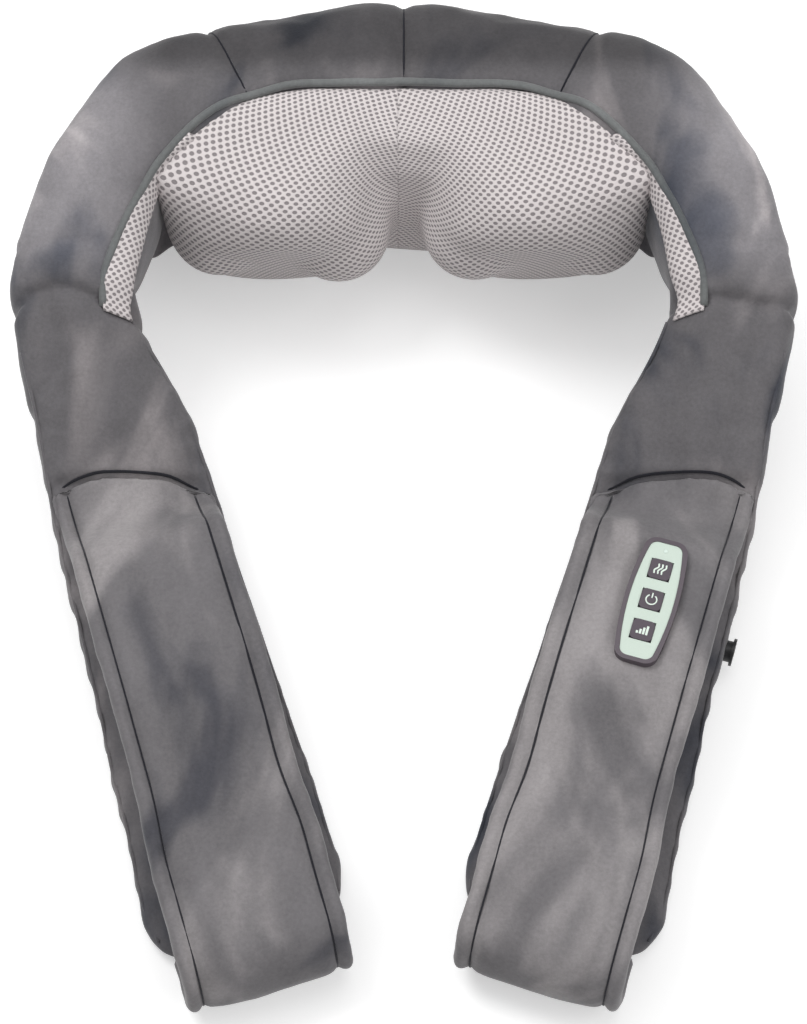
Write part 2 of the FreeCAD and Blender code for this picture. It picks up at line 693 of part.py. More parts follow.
def rounded_block(name, inset, start, end):
    """A block with the housing's rounded outline, from start to end along y."""
    body = new_body(name)
    sketch = rectangle_sketch(body, "XZ_Plane", f"{name}Outline",
                              f"2 * ({HOUSE_HALF} - {inset})", f"{HOUSE_TOP} - {HOUSE_LOW} - 2 * {inset}")
    sketch.setExpression("AttachmentOffset.Base.y", formula(f"({HOUSE_TOP} + {HOUSE_LOW}) / 2"))
    block = pad(body, sketch, f"({end}) - ({start})", f"-({end})")
    round_corners(body, block, f"corner - {inset}", Vector(0, 1, 0))
    return body


def make_front_shell():
    outer = rounded_block("FrontOuter", "0", HOUSE_FRONT, SPLIT_Y)
    inner = rounded_block("FrontInner", "wall", f"{HOUSE_FRONT} + wall", f"{SPLIT_Y} + 1")
    bosses = []
    holes = []
    for index, (x, z) in enumerate(screw_places()):
        bosses.append(rod(f"FrontBoss{index}", "y", "boss_r", f"{HOUSE_FRONT} + 0.5", SPLIT_Y, x, z))
        holes.append(rod(f"FrontHole{index}", "y", "screw_r + 0.1", HOUSE_FRONT, SPLIT_Y, x, z))
        holes.append(rod(f"FrontSink{index}", "y", "screw_head + 0.2", HOUSE_FRONT,
                         f"{HOUSE_FRONT} + 3", x, z))
    for side in (-1, 1):
        holes.append(rod(f"HubHole{side + 1}", "y", "hub_r + 0.4", HOUSE_FRONT, SPLIT_Y,
                         f"{side} * head_x"))
    shell = join("FrontShellBody", [cut("FrontTray", outer, inner)] + bosses)
    keep("front_shell", cut("FrontShell", shell, *holes), drive_frame)


def make_rear_shell():
    outer = rounded_block("RearOuter", "0", SPLIT_Y, HOUSE_BACK)
    inner = rounded_block("RearInner", "wall", f"{SPLIT_Y} - 1", f"{HOUSE_BACK} - wall")
    inside = f"{HOUSE_BACK} - wall - 0.5"
    additions = []
    holes = []
    for index, (x, z) in enumerate(screw_places()):
        additions.append(rod(f"RearBoss{index}", "y", "boss_r", SPLIT_Y, inside + " + 1", x, z))
        holes.append(rod(f"RearHole{index}", "y", "screw_r", SPLIT_Y, f"{SPLIT_Y} + 12", x, z))
    for side in (-1, 1):
        additions.append(rod(f"AxleBoss{side + 1}", "y", "hub_r - 1",
                             f"{WHEEL_Y} + wheel_width / 2 + 4.5", inside + " + 1", f"{side} * head_x"))
        holes.append(rod(f"AxleSocket{side + 1}", "y", "axle_r",
                         f"{WHEEL_Y} + wheel_width / 2 + 4", f"{HOUSE_BACK} - wall", f"{side} * head_x"))
        for where in ("inner", "outer"):
            x = bush_x(side, where)
            half = "bush_width / 2"
            additions.append(box(f"Post{side + 1}{where}", f"{x} - {half}", f"{x} + {half}",
                                 f"{WHEEL_Y} - bush_r - 2", inside + " + 1",
                                 f"{WORM_Z} - bush_r - 2.5", f"{WORM_Z} + bush_r + 2.5"))
            holes.append(rod(f"BushSeat{side + 1}{where}", "x", "bush_r", f"{x} - bush_width",
                             f"{x} + bush_width", WHEEL_Y, WORM_Z))
        rib_x = f"({side} * motor_length * 0.36)"
        additions.append(box(f"Rib{side + 1}", f"{rib_x} - 1.5", f"{rib_x} + 1.5",
                             f"{WHEEL_Y} + 2", inside + " + 1",
                             f"{WORM_Z} - motor_r - 1.5", f"{WORM_Z} + motor_r + 3"))
    holes.append(rod("MotorSeat", "x", "motor_r + 0.1", "-motor_length / 2 - 1",
                     "motor_length / 2 + 1", WHEEL_Y, WORM_Z))
    for index, (x, z) in enumerate(board_places()):
        additions.append(rod(f"Standoff{index}", "y", 2.5, board_back(), inside + " + 1", x, z))
    shell = join("RearShellBody", [cut("RearTray", outer, inner)] + additions)
    keep("rear_shell", cut("RearShell", shell, *holes), drive_frame)


def bush_x(side, where):
    """The worm shaft's four bushes stand just clear of the worms' ends."""
    off = "(worm_length / 2 + bush_width / 2 + 1.5)"
    return f"({side} * (head_x {'-' if where == 'inner' else '+'} {off}))"


def board_places():
    side = "(board_half - 4)"
    return [(f"-{side}", "(board_low + 4)"), (side, "(board_low + 4)"),
            (f"-{side}", "(board_high - 4)"), (side, "(board_high - 4)")]


def board_back():
    return f"({HOUSE_BACK} - wall - 6)"


def make_board():
    front = f"({board_back()} - board_thick)"
    body = new_body("MainBoard")
    sketch = rectangle_sketch(body, "XZ_Plane", "BoardOutline", "2 * board_half",
                              "board_high - board_low")
    sketch.setExpression("AttachmentOffset.Base.y", formula("(board_high + board_low) / 2"))
    block = pad(body, sketch, "board_thick", f"-{board_back()}")
    round_corners(body, block, 2, Vector(0, 1, 0))
    keep("main_board", body, drive_frame)
    relay = box("Relay", -20, -5, f"{front} - 9", front, -4, 6)
    driver = box("Driver", 2, 12, f"{front} - 3", front, -6, 6)
    plug = box("WireSocket", -14, 14, f"{front} - 6", front, 14, 20)
    capacitor = rod("Capacitor", "y", 4, f"{front} - 11", front, 19, 4)
    keep("board_parts", join("BoardParts", [relay, driver, plug, capacitor]), drive_frame)


def screw(name, axis, head_start, head_end, shank_end, across, up, radius="screw_r", head="screw_head"):
    """A pan-head screw: its head from head_start to head_end, its shank on to shank_end."""
    top = rod(f"{name}Head", axis, head, head_start, head_end, across, up)
    shank = rod(f"{name}Shank", axis, radius, f"{head_end} - 0.5", shank_end, across, up)
    return join(name, [top, shank])


def make_screws():
    seat = f"({HOUSE_FRONT} + 3)"
    pieces = [screw(f"HousingScrew{index}", "y", f"{seat} - 2.4", seat, f"{SPLIT_Y} + 11", x, z)
              for index, (x, z) in enumerate(screw_places())]
    keep("housing_screws", join("HousingScrews", pieces), drive_frame)


def make_motor():
    half = "motor_length / 2"
    outer = rod("CanOuter", "x", "motor_r", f"-{half} + 3", f"{half} - 3", WHEEL_Y, WORM_Z)
    inner = rod("CanInner", "x", "motor_r - can_wall", f"-{half}", half, WHEEL_Y, WORM_Z)
    keep("motor_can", cut("MotorCan", outer, inner), drive_frame)
    caps = [rod("LeftCap", "x", "motor_r", f"-{half}", f"-{half} + 3", WHEEL_Y, WORM_Z),
            rod("RightCap", "x", "motor_r", f"{half} - 3", half, WHEEL_Y, WORM_Z)]
    shaft_hole = rod("CapHole", "x", "shaft_r + running", f"-{half} - 1", f"{half} + 1", WHEEL_Y, WORM_Z)
    keep("motor_caps", cut("MotorCaps", join("CapDiscs", caps), shaft_hole), drive_frame)

    ring = rod("ClampRing", "x", "motor_r + 2", -5, 5, WHEEL_Y, WORM_Z)
    ear = box("ClampEars", -5, 5, f"{WHEEL_Y} - 1", f"{WHEEL_Y} + 1",
              f"{WORM_Z} - motor_r - 2.4", f"{WORM_Z} + motor_r + 9")
    half_space = box("ClampKeep", -6, 6, f"{WHEEL_Y} - motor_r - 5", f"{WHEEL_Y} + 1",
                     f"{WORM_Z} - motor_r - 5", f"{WORM_Z} + motor_r + 12")
    band = doc.addObject("Part::MultiCommon", "ClampBand")
    band.Shapes = [join("ClampWhole", [ring, ear]), half_space]
    bore = rod("ClampBore", "x", "motor_r + 0.1", -7, 7, WHEEL_Y, WORM_Z)
    keep("motor_clamp", cut("MotorClamp", band, bore), drive_frame)

    reach = f"({bush_x(1, 'outer')} + bush_width / 2 + 1)"
    keep("rotor_shaft", rod("RotorShaft", "x", "shaft_r", f"-{reach}", reach, WHEEL_Y, WORM_Z), drive_frame)
    core = rod("ArmatureCore", "x", "armature_r", f"-{half} + 8", f"{half} - 8", WHEEL_Y, WORM_Z)
    hole = rod("ArmatureHole", "x", "shaft_r", f"-{half}", half, WHEEL_Y, WORM_Z)
    keep("armature", cut("Armature", core, hole), drive_frame)

    rings = []
    for side in (-1, 1):
        for where in ("inner", "outer"):
            x = bush_x(side, where)
            rings.append(rod(f"Bush{side + 1}{where}", "x", "bush_r", f"{x} - bush_width / 2",
                             f"{x} + bush_width / 2", WHEEL_Y, WORM_Z))
    bore = rod("BushBore", "x", "shaft_r + running", f"-{reach} - 5", f"{reach} + 5", WHEEL_Y, WORM_Z)
    keep("shaft_bushes", cut("ShaftBushes", join("BushRings", rings), bore), drive_frame)


def twisted(face, length, turn):
    """A face in the XY plane pushed along +z while it turns steadily by turn degrees."""
    steps = max(2, math.ceil(abs(turn) / 30) + 1)
    wires = []
    for index in range(steps):
        share = index / (steps - 1)
        wire = face.OuterWire.copy()
        wire.rotate(Vector(), Vector(0, 0, 1), turn * share)
        wire.translate(Vector(0, 0, length * share))
        wires.append(wire)
    return Part.makeLoft(wires, True, False)


def make_worm(side):
    """A single-start worm; the left one is left-handed, so both wheels turn oppositely."""
    module = size("gear_module")
    lead = math.pi * module
    length = size("worm_length")
    pitch = size("worm_pitch")
    outer = pitch + 0.93 * module
    root = pitch - 1.25 * module
    slope = math.tan(math.radians(20))
    half = (lead / 2 - size("backlash") / 2) / 2
    turns = (length - lead) / lead
    wide = half + (pitch - root + 0.3) * slope
    thin = half - (outer - pitch) * slope
    profile = Part.makePolygon([Vector(root - 0.3, 0, -wide), Vector(outer, 0, -thin),
                                Vector(outer, 0, thin), Vector(root - 0.3, 0, wide),
                                Vector(root - 0.3, 0, -wide)])
    helix = Part.makeHelix(lead, turns * lead, pitch, 0, side < 0)
    sweep = Part.BRepOffsetAPI.MakePipeShell(Part.Wire(helix.Edges))
    sweep.setFrenetMode(True)
    sweep.add(profile)
    sweep.build()
    sweep.makeSolid()
    thread = sweep.shape()
    thread.rotate(Vector(), Vector(0, 0, 1), -side * 180 * turns)
    thread.translate(Vector(0, 0, -turns * lead / 2))
    core = Part.makeCylinder(root, length, Vector(0, 0, -length / 2))
    bore = Part.makeCylinder(size("shaft_r"), length + 2, Vector(0, 0, -length / 2 - 1))
    worm = core.fuse(thread).cut(bore)
    # The thread's middle crest now points along the profile's own x; turn that towards the wheel.
    worm.rotate(Vector(), Vector(0, 1, 0), 90)
    worm.rotate(Vector(), Vector(1, 0, 0), 180)
    worm.translate(Vector(side * size("head_x"), WHEEL_Y_MM, WORM_Z_MM))
    name = "left" if side < 0 else "right"
    keep(f"{name}_worm", solid(f"{name.title()}Worm", worm), drive_frame)


def tooth_half_angle(radius, pitch_r, teeth, thickness):
    """Half the angle that an involute tooth takes up at a radius, in radians."""
    pressure = math.radians(20)
    base = pitch_r * math.cos(pressure)
    here = math.acos(min(1, base / radius))

    def involute(angle):
        return math.tan(angle) - angle

    return thickness / (2 * pitch_r) + involute(pressure) - involute(here)


def make_wheel(side):
    """The worm wheel with its hub; a tooth gap faces the worm."""
    module = size("gear_module")
    teeth = int(size("wheel_teeth"))
    pitch_r = module * teeth / 2
    tip = pitch_r + 0.8 * module
    root = pitch_r - 1.25 * module
    width = size("wheel_width")
    thickness = math.pi * module / 2 - size("backlash") / 2
    radii = (root - 0.01, pitch_r - 0.4 * module, pitch_r, pitch_r + 0.4 * module, tip)
    points = []
    for index in range(teeth):
        middle = 2 * math.pi * (index + 0.5) / teeth
        halves = [tooth_half_angle(max(radius, pitch_r * 0.945), pitch_r, teeth, thickness)
                  for radius in radii]
        flank = [(radius, middle - half) for radius, half in zip(radii, halves)]
        flank += [(radius, middle + half) for radius, half in reversed(list(zip(radii, halves)))]
        points += [Vector(radius * math.cos(angle), radius * math.sin(angle), 0) for radius, angle in flank]
    face = Part.Face(Part.makePolygon(points + points[:1]))
    lead_slope = math.pi * module / (2 * math.pi * size("worm_pitch"))
    turn = math.degrees(side * width * lead_slope / pitch_r)
    gear = twisted(face, width, turn)
    gear.rotate(Vector(), Vector(0, 0, 1), -turn / 2)
    gear.translate(Vector(0, 0, -width / 2))
    # The wheel was drawn about +z with a gap on +x; stand it on +y with that gap on -z.
    gear.rotate(Vector(), Vector(1, 0, 0), -90)
    gear.rotate(Vector(), Vector(0, 1, 0), 90)
    gear.translate(Vector(0, WHEEL_Y_MM, 0))
    hub_start = size("plate_front") + size("plate_thick")
    hub_end = WHEEL_Y_MM + width / 2 + 4
    hub = Part.makeCylinder(size("hub_r"), hub_end - hub_start, Vector(0, hub_start, 0), Vector(0, 1, 0))
    wheel = gear.fuse(hub)
    wheel = wheel.cut(Part.makeCylinder(size("axle_r") + size("running"), 200, Vector(0, -50, 0),
                                        Vector(0, 1, 0)))
    for x, z in hub_screws():
        wheel = wheel.cut(Part.makeCylinder(size("screw_r") * 0.8, 12, Vector(x, hub_start - 1, z),
                                            Vector(0, 1, 0)))
    wheel.translate(Vector(side * size("head_x"), 0, 0))
    name = "left" if side < 0 else "right"
    keep(f"{name}_worm_wheel", solid(f"{name.title()}WormWheel", wheel), drive_frame)


def hub_screws():
    """Three small screws hold each kneading arm to its wheel's hub."""
    ring = (size("hub_r") + size("axle_r")) / 2
    return [(ring * math.sin(math.radians(turn)), ring * math.cos(math.radians(turn)))
            for turn in (60, 180, 300)]


def make_head(side):
    """One kneading head: arm plate, two large and two small nodes, and its fixed heat lamp."""
    name = "left" if side < 0 else "right"
    x = f"({side} * head_x)"
    back = "plate_front + plate_thick"
    bars = [box(f"{name}BarX", f"{x} - orbit", f"{x} + orbit", "plate_front + 2", back, -7, 7),
            box(f"{name}BarZ", f"{x} - 7", f"{x} + 7", "plate_front + 2", back, "-orbit", "orbit"),
            rod(f"{name}Disc", "y", "hub_disc", "plate_front", back, x, 0)]
    spots = {"large": (("orbit", "0"), ("-orbit", "0")), "small": (("0", "orbit"), ("0", "-orbit"))}
    for kind, places in spots.items():
        for index, (dx, dz) in enumerate(places):
            bars.append(rod(f"{name}Lobe{kind}{index}", "y", "lobe", "plate_front", back,
                            f"{x} + {dx}", dz))
    holes = [rod(f"{name}PlateBore", "y", "axle_r + 0.4", 0, 60, x, 0)]
    screws = []
    for index, (dx, dz) in enumerate(hub_screws()):
        spot = (f"{x} + {dx}", dz)
        holes.append(rod(f"{name}PlateHole{index}", "y", "screw_r * 0.8", 0, 60, *spot))
        screws.append(screw(f"{name}HubScrew{index}", "y", "plate_front - 1.4", "plate_front",
                            f"{back} + 9", *spot, radius="screw_r * 0.8", head=2.2))
    keep(f"{name}_kneader_arm", cut(f"{name}KneaderArm", join(f"{name}Cross", bars), *holes), drive_frame)
    keep(f"{name}_hub_screws", join(f"{name}HubScrews", screws), drive_frame)

    for kind, places in spots.items():
        radius = f"{kind}_r"
        domes = []
        for index, (dx, dz) in enumerate(places):
            centre = f"plate_front - {radius} * 2 / 3"
            across = f"{x} + {dx}"
            if kind == "large":
                centre = "0"
            dome = ball(f"{name}Dome{kind}{index}", radius, across, centre, dz)
            skirt = cone(f"{name}Skirt{kind}{index}", "y", radius, f"{radius} * 0.8",
                         centre, "plate_front", across, dz)
            trim = box(f"{name}Trim{kind}{index}", f"{across} - 30", f"{across} + 30", "plate_front",
                       "plate_front + 30", f"{dz} - 30", f"{dz} + 30")
            domes.append(cut(f"{name}Node{kind}{index}",
                             join(f"{name}Whole{kind}{index}", [dome, skirt]), trim))
        keep(f"{name}_{kind}_nodes", join(f"{name}{kind.title()}Nodes", domes), drive_frame)

    axle_end = "plate_front - 5"
    outer = rod(f"{name}AxleOuter", "y", "axle_r", axle_end, f"{HOUSE_BACK} - wall", x, 0)
    inner = rod(f"{name}AxleInner", "y", "axle_bore", axle_end, f"{HOUSE_BACK} - wall", x, 0)
    keep(f"{name}_axle", cut(f"{name}Axle", outer, inner), drive_frame)
    keep(f"{name}_heat_board", rod(f"{name}HeatBoard", "y", 9, f"{axle_end} - 1.5", axle_end, x, 0),
         drive_frame)
    rim = rod(f"{name}LensRim", "y", 10.4, "0", f"{axle_end} - 0.2", x, 0)
    crown = cone(f"{name}LensCrown", "y", 6, 10.4, -5, "0", x, 0)
    hollow = rod(f"{name}LensHollow", "y", 9, "1", axle_end, x, 0)
    keep(f"{name}_heat_lens", cut(f"{name}HeatLens", join(f"{name}Lens", [rim, crown]), hollow),
         drive_frame)


WHEEL_Y_MM = value_of(WHEEL_Y)
WORM_Z_MM = value_of(WORM_Z)

make_collar()
for arm_side in (-1, 1):
    make_arm(arm_side)
make_inlet()
make_panel()
make_front_shell()
make_rear_shell()
make_board()
make_screws()
make_motor()
for head_side in (-1, 1):
    make_worm(head_side)
    make_wheel(head_side)
    make_head(head_side)
doc.recompute()

for item in doc.Objects:
    if "Invalid" in item.State or "Error" in item.State:
        raise RuntimeError(f"{item.Name} could not be built: {item.State}")
for piece in parts:
    if piece.Shape.isNull() or not piece.Shape.isValid() or not piece.Shape.Solids:
        raise RuntimeError(f"{piece.Label} has no valid solid")

os.makedirs("parts", exist_ok=True)
for piece in parts:
    piece.Shape.exportStep(f"parts/{piece.Label}.step")
    print(f"{piece.Label}: {len(piece.Shape.Solids)} solids, {piece.Shape.Volume / 1000:.2f} cm3")
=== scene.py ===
"""A shiatsu neck massager: velvet collar and arms, air mesh over the kneading heads,
hand loops, piping and seams, the control panel's symbols, and the finish of every part."""

import json
import math

import bmesh
import bpy
import numpy as np
from bpy.props import FloatProperty, FloatVectorProperty, IntProperty, PointerProperty
from mathutils import Matrix, Vector, noise
from mathutils.bvhtree import BVHTree
from mathutils.kdtree import KDTree

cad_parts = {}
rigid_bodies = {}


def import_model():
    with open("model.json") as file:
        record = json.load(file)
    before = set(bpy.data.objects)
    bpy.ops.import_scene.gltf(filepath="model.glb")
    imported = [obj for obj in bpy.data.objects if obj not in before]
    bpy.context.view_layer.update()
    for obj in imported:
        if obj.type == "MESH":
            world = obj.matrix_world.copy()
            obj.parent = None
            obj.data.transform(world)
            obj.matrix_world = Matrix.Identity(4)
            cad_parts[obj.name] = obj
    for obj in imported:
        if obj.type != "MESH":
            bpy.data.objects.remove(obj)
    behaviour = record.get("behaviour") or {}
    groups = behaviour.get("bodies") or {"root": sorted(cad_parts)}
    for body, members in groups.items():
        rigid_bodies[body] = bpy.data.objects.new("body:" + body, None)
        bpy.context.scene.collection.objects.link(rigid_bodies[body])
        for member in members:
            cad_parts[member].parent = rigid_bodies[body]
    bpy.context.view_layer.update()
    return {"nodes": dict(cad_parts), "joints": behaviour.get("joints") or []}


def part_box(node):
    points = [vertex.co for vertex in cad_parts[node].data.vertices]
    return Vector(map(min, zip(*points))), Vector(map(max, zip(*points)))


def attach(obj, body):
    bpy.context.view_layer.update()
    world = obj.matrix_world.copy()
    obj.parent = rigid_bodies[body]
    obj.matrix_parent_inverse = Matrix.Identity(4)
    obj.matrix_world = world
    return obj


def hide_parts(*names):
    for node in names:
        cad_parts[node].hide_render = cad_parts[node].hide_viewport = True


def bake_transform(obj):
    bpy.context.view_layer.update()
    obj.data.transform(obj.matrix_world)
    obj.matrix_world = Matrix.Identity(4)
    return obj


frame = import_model()

bl_info = {
    "name": "Shiatsu neck massager",
    "version": (1, 0, 0),
    "blender": (4, 5, 0),
    "location": "View3D > Sidebar > Massager",
    "description": "Makes the soft parts and finishes of a shiatsu neck massager",
    "category": "Object",
}

MM = 0.001
SIDES = (("left", -1), ("right", 1))
UP = Vector((0, 0, 1))

# The fold hinges and the kneading heads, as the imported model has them.
HINGE = Vector((0.171, 0.086, 0.084))
ARM_YAW = math.radians(17)
HEAD_CENTRE = Vector((0, 0.158, 0.076))
HEAD_TILT = math.radians(22)
HEAD_APART = 0.070
NODE_ORBIT = 0.034


class VelvetSizes(bpy.types.PropertyGroup):
    voxel: FloatProperty(name="Remesh voxel",
                         description="Edge length of the quilted skin before it is subdivided",
                         default=0.005, unit="LENGTH")
    pressure: FloatProperty(name="Filling pressure",
                            description="How hard the filling pushes the velvet out", default=4.0)
    frames: IntProperty(name="Filling frames", description="Frames of the cloth simulation", default=20)
    swell: FloatProperty(name="Swell", description="How far the filling may push a point", default=0.006,
                         unit="LENGTH")
    piping: FloatProperty(name="Piping radius", description="Radius of the corded edge", default=0.0021,
                          unit="LENGTH")
    thread: FloatProperty(name="Thread radius", description="Radius of a sewn line", default=0.0005,
                          unit="LENGTH")
    colour: FloatVectorProperty(name="Velvet colour", description="Middle colour of the velvet",
                                subtype="COLOR",
                                size=3, default=(0.118, 0.113, 0.120))


class LoopSizes(bpy.types.PropertyGroup):
    half: FloatProperty(name="Half width", description="Half of the strap's width", default=0.035,
                        unit="LENGTH")
    end_half: FloatProperty(name="End half width", description="Half of the width near the hand loop",
                            default=0.038, unit="LENGTH")
    thick: FloatProperty(name="Thickness", description="Thickness of the strap", default=0.013, unit="LENGTH")
    border: FloatProperty(name="Border", description="From the strap's edge to its sewn line",
                          default=0.008, unit="LENGTH")
    skew: FloatProperty(name="Skew", description="How much later the inner edge starts than the middle",
                        default=0.009, unit="LENGTH")
    arch: FloatProperty(name="Arch", description="Rise of the curved seam that the strap starts from",
                        default=0.007, unit="LENGTH")


class PouchSizes(bpy.types.PropertyGroup):
    clearance: FloatProperty(name="Clearance", description="Between the turning nodes and the mesh",
                             default=0.003,
                             unit="LENGTH")
    bump: FloatProperty(name="Bump radius", description="Radius of the mesh over a large node",
                        default=0.0285,
                        unit="LENGTH")
    pitch: FloatProperty(name="Hole pitch", description="Distance between holes in a row", default=0.0041,
                         unit="LENGTH")
    colour: FloatVectorProperty(name="Mesh colour", description="Colour of the air mesh", subtype="COLOR",
                                size=3,
                                default=(0.72, 0.665, 0.665))


class MassagerSizes(bpy.types.PropertyGroup):
    velvet: PointerProperty(type=VelvetSizes)
    loop: PointerProperty(type=LoopSizes)
    pouch: PointerProperty(type=PouchSizes)


def sizes():
    return bpy.context.scene.massager


# ---------------------------------------------------------------- places

def arm_axes(side):
    """The arm's direction and its across direction, towards +X."""
    yaw = side * ARM_YAW
    along = Vector((-math.sin(yaw), -math.cos(yaw), 0))
    across = Vector((math.cos(yaw), -math.sin(yaw), 0))
    return along, across


def arm_point(side, s, t, z):
    """A place given along the arm from its hinge, across it, and above the floor."""
    along, across = arm_axes(side)
    return Vector((side * HINGE.x, HINGE.y, 0)) + along * s + across * t + UP * z


def arm_place(side, point):
    """A point as (along, across, height) in the arm's own directions."""
    along, across = arm_axes(side)
    offset = point - Vector((side * HINGE.x, HINGE.y, 0))
    return offset.dot(along), offset.dot(across), point.z


def head_point(x, y, z):
    """A place given in the tilted frame of the kneading heads."""
    return HEAD_CENTRE + Matrix.Rotation(HEAD_TILT, 3, "X") @ Vector((x, y, z))


# ---------------------------------------------------------------- meshes

def as_object(name, bm):
    """Ends a bmesh as an object at the origin."""
    mesh = bpy.data.meshes.new(name)
    bm.to_mesh(mesh)
    bm.free()
    obj = bpy.data.objects.new(name, mesh)
    bpy.context.scene.collection.objects.link(obj)
    return obj


def opened(obj):
    bm = bmesh.new()
    bm.from_mesh(obj.data)
    bm.verts.ensure_lookup_table()
    return bm


def closed(obj, bm):
    bm.to_mesh(obj.data)
    bm.free()
    obj.data.update()


def smooth_shaded(obj):
    obj.data.shade_smooth()
    return obj


def apply_modifiers(obj):
    """Bakes an object's modifiers into its mesh."""
    graph = bpy.context.evaluated_depsgraph_get()
    mesh = bpy.data.meshes.new_from_object(obj.evaluated_get(graph))
    old = obj.data
    obj.modifiers.clear()
    obj.data = mesh
    bpy.data.meshes.remove(old)
    mesh.name = obj.name


def add_subdivision(obj, levels=1):
    modifier = obj.modifiers.new("Subdivision", "SUBSURF")
    modifier.levels = modifier.render_levels = levels
    return modifier


def remesh(obj, voxel):
    modifier = obj.modifiers.new("Remesh", "REMESH")
    modifier.mode = "VOXEL"
    modifier.voxel_size = voxel
    apply_modifiers(obj)


def relax(obj, rounds, factor=0.5, chosen=None):
    """Rounds a mesh by repeated smoothing, on the points that chosen accepts."""
    bm = opened(obj)
    verts = [v for v in bm.verts if chosen is None or chosen(v.co)]
    for _ in range(rounds):
        bmesh.ops.smooth_vert(bm, verts=verts, factor=factor, use_axis_x=True, use_axis_y=True,
                              use_axis_z=True)
    closed(obj, bm)


def points_of(obj):
    co = np.zeros(len(obj.data.vertices) * 3, np.float32)
    obj.data.vertices.foreach_get("co", co)
    return co.reshape(-1, 3)


def set_points(obj, co):
    obj.data.vertices.foreach_set("co", np.ascontiguousarray(co, np.float32).ravel())
    obj.data.update()


def inflate(obj, pressure, frames, cap):
    """Fills a closed skin by cloth simulation, and holds each point within cap(point) of its start."""
    before = points_of(obj)
    cloth = obj.modifiers.new("Filling", "CLOTH")
    cloth.settings.use_pressure = True
    cloth.settings.uniform_pressure_force = pressure
    cloth.settings.effector_weights.gravity = 0
    cloth.collision_settings.use_collision = False
    scene = bpy.context.scene
    for step in range(1, frames + 1):
        scene.frame_set(step)
    apply_modifiers(obj)
    scene.frame_set(1)
    move = points_of(obj) - before
    normals = np.zeros_like(before)
    flat = normals.ravel()
    obj.data.vertices.foreach_get("normal", flat)
    normals = flat.reshape(-1, 3)
    outward = (move * normals).sum(1, keepdims=True)
    move -= normals * np.minimum(0, outward)
    length = np.linalg.norm(move, axis=1, keepdims=True)
    most = np.array([[cap(point)] for point in before])
    move *= np.minimum(1, most / np.maximum(length, 1e-9))
    set_points(obj, before + move)


def on_floor(obj, gap=0.0003):
    """Flattens what would reach below the surface that the object lies on."""
    co = points_of(obj)
    co[:, 2] = np.maximum(co[:, 2], gap)
    set_points(obj, co)


def displace(obj, amount):
    """Moves each point along its normal by amount(point)."""
    bm = opened(obj)
    bm.normal_update()
    moves = [(v, v.normal * amount(v.co)) for v in bm.verts]
    for vert, move in moves:
        vert.co += move
    closed(obj, bm)


def tree_of(obj):
    bm = opened(obj)
    tree = BVHTree.FromBMesh(bm)
    bm.free()
    return tree


def grid_surface(name, rows, closed_rows=False, capped=False):
    """A surface through rows of points, from a grid, with its UV map in metres."""
    high, wide = len(rows), len(rows[0])
    bm = bmesh.new()
    bmesh.ops.create_grid(bm, x_segments=wide - 1, y_segments=high - 1, size=1)
    order = sorted(bm.verts, key=lambda v: (round(v.co.y, 5), round(v.co.x, 5)))
    flat = {}
    for j, row in enumerate(rows):
        reach = 0.0
        for i, point in enumerate(row):
            vert = order[j * wide + i]
            if i:
                reach += (point - row[i - 1]).length
            flat[vert] = reach
            vert.co = point
    middle = wide // 2
    run = [0.0]
    for j in range(1, high):
        run.append(run[-1] + (rows[j][middle] - rows[j - 1][middle]).length)
    for j in range(high):
        for i in range(wide):
            vert = order[j * wide + i]
            flat[vert] = (flat[vert], run[j])
    layer = bm.loops.layers.uv.new("UVMap")
    for face in bm.faces:
        for loop in face.loops:
            loop[layer].uv = flat[loop.vert]
    if closed_rows:
        bmesh.ops.remove_doubles(bm, verts=bm.verts, dist=1e-6)
    if capped:
        rim = [e for e in bm.edges if e.is_boundary]
        bmesh.ops.holes_fill(bm, edges=rim, sides=0)
    bmesh.ops.recalc_face_normals(bm, faces=bm.faces)
    return smooth_shaded(as_object(name, bm))


def frames_along(points):
    """Tangent, side and normal at each point of a line, turned as little as possible."""
    tangents = []
    for i in range(len(points)):
        ahead = points[min(i + 1, len(points) - 1)] - points[max(i - 1, 0)]
        tangents.append(ahead.normalized())
    side = tangents[0].orthogonal().normalized()
    sides = []
    for tangent in tangents:
        side = (side - tangent * side.dot(tangent)).normalized()
        sides.append(side)
    return [(t, s, t.cross(s)) for t, s in zip(tangents, sides)]


def tube(name, points, radius, around=8):
    """A round cord along a line."""
    rows = []
    for point, (_, side, normal) in zip(points, frames_along(points)):
        ring = []
        for k in range(around + 1):
            angle = 2 * math.pi * (k % around) / around
            ring.append(point + radius * (side * math.cos(angle) + normal * math.sin(angle)))
        rows.append(ring)
    return grid_surface(name, rows, closed_rows=True, capped=True)


def rounded_path(corners, step):
    """A line through corners (x, z, radius), with arcs at the corners, sampled evenly."""
    flat = [Vector((x, z)) for x, z, _ in corners]
    line = [flat[0]]
    for i in range(1, len(flat) - 1):
        back = flat[i - 1] - flat[i]
        ahead = flat[i + 1] - flat[i]
        turn = math.pi - back.angle(ahead)
        if corners[i][2] == 0 or turn < 0.01:
            line.append(flat[i])
            continue
        reach = min(corners[i][2] * math.tan(turn / 2), 0.49 * back.length, 0.49 * ahead.length)
        a, b = flat[i] + back.normalized() * reach, flat[i] + ahead.normalized() * reach
        pieces = max(3, int(turn / 0.1))
        for k in range(pieces + 1):
            share = k / pieces
            line.append((1 - share) ** 2 * a + 2 * share * (1 - share) * flat[i] + share ** 2 * b)
    line.append(flat[-1])
    return evenly(line, step)


